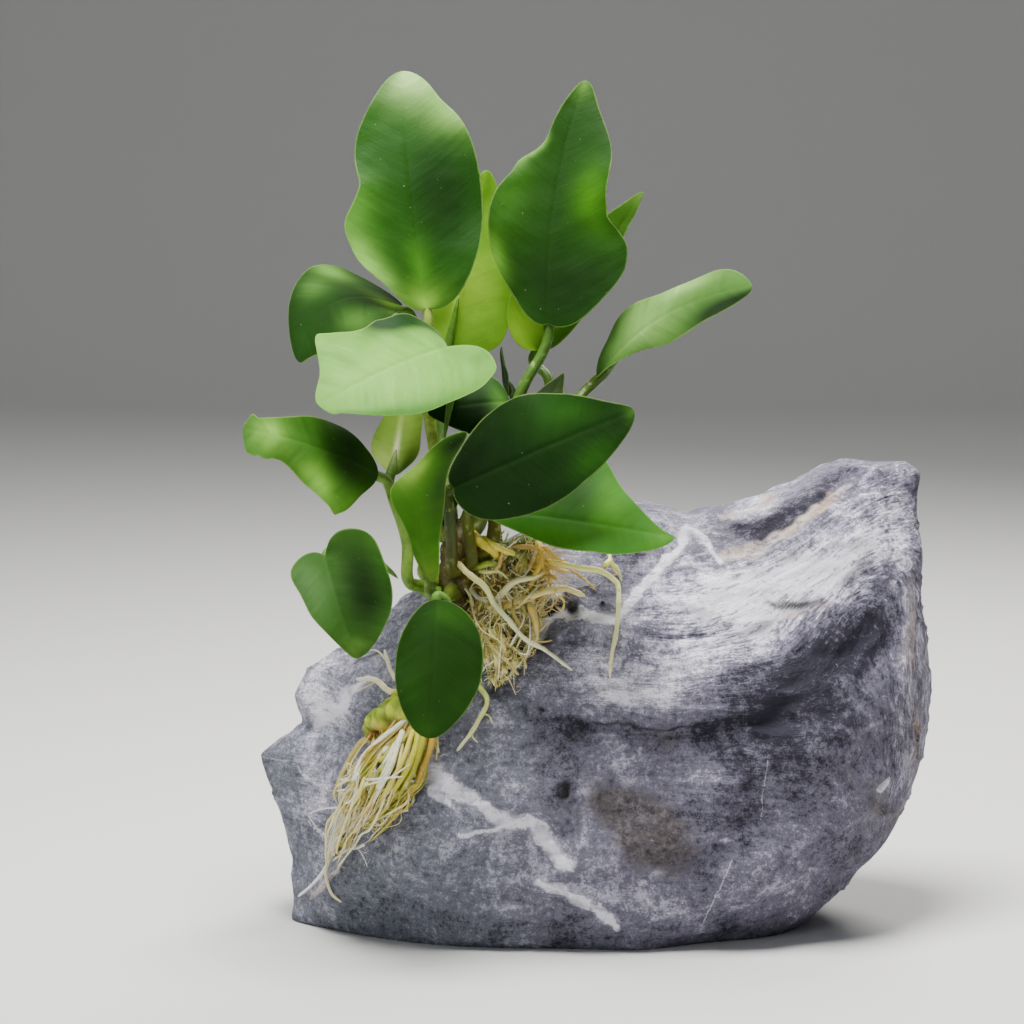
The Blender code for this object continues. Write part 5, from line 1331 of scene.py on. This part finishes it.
MAT_STRANDS = (
    (0.7, (224, 192, 138), ((-20.6, 68, 8), (-19.7, 69.6, 9.5), (-17.2, 72.2, 10), (-13.1, 73, 8.6),
                            (-11, 74, 7))),
    (0.3, (214, 200, 150), ((-27.4, 71.4, 7), (-25.9, 69.5, 8), (-25, 66.8, 8), (-24.6, 64, 7.6),
                            (-22.9, 61.4, 7), (-20.9, 59.2, 7), (-18.8, 58.9, 7), (-17.2, 61.9, 7))),
    (0.2, (222, 212, 170), ((-20.4, 70, 10.6), (-20.1, 69, 10.4), (-20.9, 66, 9), (-21.7, 63.4, 7.6),
                            (-21.3, 61.4, 7))),
    (0.17, (222, 212, 170), ((-20.1, 69, 10.4), (-19.7, 66.2, 9.6), (-21.3, 64.2, 8), (-20.5, 61.8, 7),
                             (-19.3, 60.7, 7))),
    (0.66, (206, 186, 112), ((-14.4, 68, 8), (-13.5, 66.2, 7), (-13.1, 64.1, 5.6), (-13.5, 61.7, 4.6),
                             (-14.4, 59.2, 3.6), (-16, 57.2, 3))),
    (1.2, (186, 168, 48), ((-25.4, 80.6, 6), (-24.4, 80.3, 8.4), (-22.9, 79.4, 9.4), (-21.4, 78.2, 9),
                           (-20.4, 76.6, 7.6))),
    (0.8, (204, 184, 66), ((-23.6, 80.4, 8), (-21.4, 79.4, 9.2), (-19.2, 78.2, 9), (-17, 77.2, 7.4))),
    (0.85, (140, 158, 48), ((-26, 75, 6), (-24, 75, 8), (-21.9, 75.6, 8.6), (-19.6, 75.1, 8.6))),
    (0.35, (206, 200, 120), ((-24, 74, 8), (-22.2, 74, 9), (-20.1, 74.1, 9.6), (-18.4, 72.8, 9.4))),
    (0.45, (190, 160, 90), ((-19.4, 78.6, 7), (-19.7, 77.2, 8.4), (-20.1, 75.5, 9.6),
                            (-21, 74.1, 9.6))),
    (0.75, (186, 154, 50), ((-12.6, 79, 4), (-12.2, 78, 6), (-11.8, 76.4, 7.4), (-13.1, 73.4, 8.4),
                            (-14.3, 70.4, 8.4))),
    (0.5, (188, 152, 58), ((-12.4, 78.6, 5), (-10.5, 77.6, 5.6), (-9.3, 76.3, 5.6), (-7.3, 75.3, 4))),
    (0.5, (200, 162, 70), ((-13, 76, 7), (-11.4, 75.4, 7), (-9, 74.1, 6), (-6.5, 73.2, 4))),
    (0.65, (176, 140, 60), ((-14, 78.4, 5), (-13, 77, 6.6), (-12.2, 75.1, 7.4), (-10.6, 73.3, 7),
                            (-9, 72.1, 6))),
    (0.5, (170, 156, 70), ((-14.3, 70.9, 8.6), (-15.6, 68.4, 9), (-15.2, 66, 8.4), (-16, 64.4, 8))),
    (0.3, (200, 164, 96), ((1, 76.4, 2.6), (1.8, 75.3, 2), (2.2, 73.4, 1.6), (3, 72.2, 1))),
    (0.3, (160, 128, 62), ((-6, 73.4, 4), (-4.1, 72.1, 3), (-2.4, 70.7, 2), (-1.2, 69.5, 1))),
    (0.14, (190, 176, 130), ((-19, 60, 8), (-19.3, 58.2, 7), (-20.1, 55.8, 6), (-18.4, 54, 4),
                             (-16.8, 50.6, 1.6))),
    (0.45, (170, 150, 84), ((-23, 62, 7.6), (-21.3, 59.8, 8), (-18, 57, 7), (-16.4, 54.6, 4))),
    (0.4, (160, 140, 76), ((-20, 63, 8), (-18.6, 61, 8), (-15.6, 58.4, 6.4), (-14.8, 55.6, 3))),
    (0.5, (128, 116, 52), ((-25, 66, 6), (-23.6, 62, 7), (-21, 58, 7), (-19.4, 55, 5))),
    (0.8, (120, 118, 46), ((-23, 79, 6), (-18.6, 78, 7), (-15.4, 76, 7.6), (-15, 73, 8),
                           (-16.4, 70, 7.4))),
    (0.5, (214, 206, 170), ((-26, 71, 6), (-24.4, 69, 8), (-22.4, 68, 8.6), (-21.4, 66.4, 8))),
)


def mass_at(rows, at):
    """Middle, half width, half depth and both directions of the mass at those shares of its length."""
    rows = np.array(rows, float)
    middles = np.array([before_stone(x, z, distance) for x, z, distance, _, _ in rows])
    chord = chords(middles)
    flat = np.clip(np.ravel(at), 0, 1) * chord[-1]
    middle, wide, deep = (hermite(flat, chord, values) for values in (middles, rows[:, 3], rows[:, 4]))
    ahead = unit(hermite(np.minimum(flat + 0.3, chord[-1]), chord, middles)
                 - hermite(np.minimum(flat + 0.3, chord[-1]) - 0.4, chord, middles))
    across = unit(np.cross(ahead, (0, -1, 0)))
    out = np.cross(across, ahead)
    shape = np.shape(at)
    return (middle.reshape(*shape, 3), wide.reshape(shape), deep.reshape(shape),
            across.reshape(*shape, 3), out.reshape(*shape, 3))


def add_strands(name, node, groups, around, down, core):
    """Tubes along the groups' paths as one piece, with finer hairs and the heart that they lie on."""
    paths, radii, tints = (np.concatenate(parts) for parts in zip(*groups))
    hair_paths, hair_radius, hair_tint = down
    hair_radii = np.tile(hair_radius * strand_radii(HAIR_POINTS, 1.0), (len(hair_paths), 1))
    hair_tints = np.broadcast_to(hair_tint, hair_paths.shape)
    core_grid, core_tint = core
    places, colours = [core_grid.reshape(-1, 3)], [core_tint.reshape(-1, 3)]
    faces = [grid_faces(*core_grid.shape[:2], wrap=True)]
    start = len(places[0])
    hair_group = hair_paths, hair_radii, hair_tints, HAIR_AROUND
    for lines, widths, shades, sides in ((paths, radii, tints, around), hair_group):
        grid, _ = sweep(lines, widths, sides)
        count, points = lines.shape[:2]
        tube = grid_faces(points, sides, wrap=True)
        faces.append((start + tube + np.arange(count)[:, None, None] * points * sides).reshape(-1, 4))
        places.append(grid.reshape(-1, 3))
        colours.append(np.broadcast_to(shades[..., None, :], grid.shape).reshape(-1, 3))
        start += len(places[-1])
    values = {"tint": with_alpha(paled(np.concatenate(colours), MASS_LIFT))}
    add_piece(name, np.concatenate(places), np.concatenate(faces), root_look, [node], values)


def mass_core(rows, end, fill, rough, tones):
    """The matted heart of a mass: its form up to end, drawn in to the share fill, with painted shade in
    its hollows.

    Its colour goes through the tones by the height of its bumps, from painted shade in the deepest
    hollow to painted light on the highest hump.
    """
    at = np.linspace(0, 1, HEART_POINTS)
    middle, wide, deep, across, out = mass_at(rows, at * end)
    turn = np.linspace(0, 2 * math.pi, HEART_AROUND, endpoint=False)
    closed = fill * (1 - 0.5 * at * (end < 1)) * np.sqrt(np.clip(1 - (2 * at - 1) ** 6, 0, 1))
    closed = closed[:, None, None]
    sideways = (np.cos(turn) * wide[:, None])[..., None] * across[:, None]
    outwards = (np.sin(turn) * deep[:, None])[..., None] * out[:, None]
    grid = middle[:, None] + closed * (sideways + outwards)
    bumps = layered_noise(grid * (1.3, 1, 0.55), 1.7, 4, 401)
    grid += closed * rough * bumps[..., None] * unit(grid - middle[:, None])
    # painted shade in the hollows and painted light on the humps, by the height of the bumps
    height = np.clip(bumps * 0.9 + 0.5 + 0.5 * lattice_noise(grid, 3, 409), 0, 1) * (len(tones) - 1)
    channels = np.array([tone(*colour) for colour in tones]).T
    return grid, np.stack([np.interp(height, np.arange(len(tones)), row) for row in channels], -1)


def curves_through(places, points):
    """Smooth curves of that many points through each strand's own few, as weighted sums of them."""
    knots = places.shape[1]
    weights = hermite(np.linspace(0, knots - 1, points), np.arange(knots), np.eye(knots))
    return np.einsum("nk,skc->snc", weights, places)


def random_places(dice, rows, group):
    """Points for the group's strands in the mass, each strand keeping near one side of it.

    A strand goes from a share of the mass's length in begin to one in end; at each knot it lies at a
    turn that strays by curl, and out from the middle by a share in fill, plus a little way of its own.
    The share in outer of the strands keep to the mass's outer side.
    """
    count = group.count
    begin, end = dice.uniform(*group.begin, count), dice.uniform(*group.end, count)
    at = np.linspace(begin, end, group.knots, axis=-1)
    at = np.clip(at + dice.normal(0, 0.25 / group.knots, at.shape), 0, 1)
    is_outer = dice.random(count) < group.outer
    outer, anywhere = dice.uniform(0.1, math.pi - 0.1, count), dice.uniform(0, 2 * math.pi, count)
    first = np.where(is_outer, outer, anywhere)[:, None]
    turn = first + np.cumsum(dice.normal(0, group.curl, at.shape), -1)
    out_share = dice.uniform(*group.fill, at.shape)
    middle, wide, deep, across, out = mass_at(rows, at)
    return (middle + (out_share * wide * np.cos(turn))[..., None] * across
            + (out_share * deep * np.sin(turn))[..., None] * out
            + dice.normal(0, group.stray, (*at.shape, 3)))


def rhizome_places(dice, count, shares, toward, spread):
    """Points just inside the rhizome's skin at random shares of its length, about that direction."""
    picked = zip(dice.uniform(*shares, count), np.asarray(toward) + dice.normal(0, spread, (count, 3)))
    return np.array([rhizome_foot(share, way, -0.6)[0] for share, way in picked])


def strewn(dice, rows, group, points, shift=0.0):
    """The group's random strands in the mass: their smooth paths, shifted a little, radii and tints.

    Each strand has a tone out of the palette, mixed six to four with the colours near and far.
    """
    places = random_places(dice, rows, group) + shift
    if group.feet:
        places[:, 0] = rhizome_places(dice, group.count, *group.feet)
    least, more, power = group.radius
    radii = (least + more * dice.random(group.count) ** power)[:, None] * strand_radii(points, 1.0)
    palette = np.array([tone(*colour) for colour in group.palette])
    pick = palette[dice.integers(0, len(palette), group.count)]
    pick = pick * dice.uniform(0.8, 1.1, (group.count, 1))
    along = blend(tone(*group.near), tone(*group.far), np.linspace(0, 1, points))
    return curves_through(places, points), radii, 0.6 * pick[:, None] + 0.4 * along[None]


def hairs(dice, paths, count, length):
    """Downy hairs from random points of the strands, each bowed a little its own way."""
    which = dice.integers(0, len(paths), count), dice.integers(3, paths.shape[1] - 2, count)
    way = unit(dice.normal(0, 1, (count, 3)) + (0, -0.4, 0))
    share = np.linspace(0, 1, HAIR_POINTS)[None, :, None]
    reach = dice.uniform(0.3, 1, (count, 1, 1)) * length
    bow = dice.normal(0, 0.35, (count, 1, 3)) * reach * share**2
    return paths[which][:, None] + way[:, None] * reach * share + bow


def set_strands(rows, points):
    """The strands that are placed one by one: radius, colour, and x, z and distance of the points."""
    places = [smooth_path([before_stone(*place) for place in way], points) for _, _, way in rows]
    radii = np.stack([strand_radii(points, radius) for radius, _, _ in rows])
    tints = np.repeat(np.array([tone(*colour) for _, colour, _ in rows])[:, None], points, 1)
    return np.array(places), radii, tints


def in_gaps(places):
    """How deep in one of the mat's open gaps the places lie."""
    bells = (spot(places[..., 0], places[..., 2], (x, z), size, size) for x, z, size in MAT_GAPS)
    return np.clip(sum(bells), 0, 1)


dice = np.random.default_rng(503)
film_shift = np.array([2.6, 0, 1.0]) * np.linspace(1, 0.5, TUFT_FILM.knots)[:, None]
film = strewn(dice, LOW_BUNDLE, TUFT_FILM, TUFT_POINTS, film_shift)
tuft = strewn(dice, LOW_BUNDLE, TUFT_LONG, TUFT_POINTS)
placed = set_strands(TUFT_STRANDS, TUFT_POINTS)
down = hairs(dice, np.concatenate([tuft[0], placed[0]]), TUFT_HAIRS, HAIR_LENGTH)
tuft_heart = mass_core(LOW_BUNDLE, end=0.8, fill=0.68, rough=0.8, tones=TUFT_HEART_SHADED_TONES)
add_strands("low_root_tuft", "root_bundle_low", (film, tuft, placed), TUFT_AROUND,
            (down, TUFT_HAIR_RADIUS, tone(*TUFT_HAIR_TONE)), tuft_heart)

body, body_radii, body_tints = strewn(dice, TOP_TANGLE, MAT_BODY, MAT_POINTS)
curls = strewn(dice, TOP_TANGLE, MAT_CURLS, MAT_POINTS)
placed = set_strands(MAT_STRANDS, MAT_POINTS)
heart, heart_tint = mass_core(TOP_TANGLE, end=1, fill=0.94, rough=1.0, tones=MAT_HEART_SHADED_TONES)
# painted shade in the mat's open gaps
body_tints = blend(body_tints, tone(*GAP_SHADE_TONE), 0.9 * in_gaps(body))
heart_tint = blend(heart_tint, tone(*DEEP_GAP_SHADE_TONE), in_gaps(heart))
heart_tint = blend(heart_tint, tone(*GREEN_TOP_TONE), 0.85 * step(heart[..., 2] - 75.5, 0.8))
down = hairs(dice, np.concatenate([body, curls[0], placed[0], placed[0]]), MAT_HAIRS, HAIR_LENGTH)
share = np.linspace(0, 1, HAIR_POINTS)[:, None]
matted = heart[5:-5, :]
away = unit(matted - matted.mean(1, keepdims=True))
pick = dice.integers(0, matted.shape[0], MAT_FUZZ), dice.integers(0, matted.shape[1], MAT_FUZZ)
fuzz = unit(away[pick] + dice.normal(0, 0.7, (MAT_FUZZ, 3)))[:, None] * share**0.8
fringe = before_stone(*FRINGE_PLACE) + dice.normal(0, 1, (FRINGE, 1, 3)) * FRINGE_SPREAD
way = unit(dice.normal(0, 0.55, (FRINGE, 1, 3)) + (0.9, -0.4, -0.3))
fringe = fringe + way * dice.uniform(1.5, 5, (FRINGE, 1, 1)) * share
fringe = fringe + dice.normal(0, 0.9, (FRINGE, 1, 3)) * share**2
fuzz = matted[pick][:, None] + fuzz * dice.uniform(0.5, 1.7, (MAT_FUZZ, 1, 1))
fuzz = fuzz + np.array([0, 0, -0.5]) * share**2
hair_tones = [tone(*MAT_HAIR_TONE), tone(*FRINGE_TONE)]
hair_tint = np.repeat(hair_tones, [MAT_HAIRS + MAT_FUZZ, FRINGE], 0)[:, None]
add_strands("top_root_mat", "root_tangle_top", ((body, body_radii, body_tints), curls, placed),
            MAT_AROUND, (np.concatenate([down, fuzz, fringe]), MAT_HAIR_RADIUS, hair_tint),
            (heart, heart_tint))
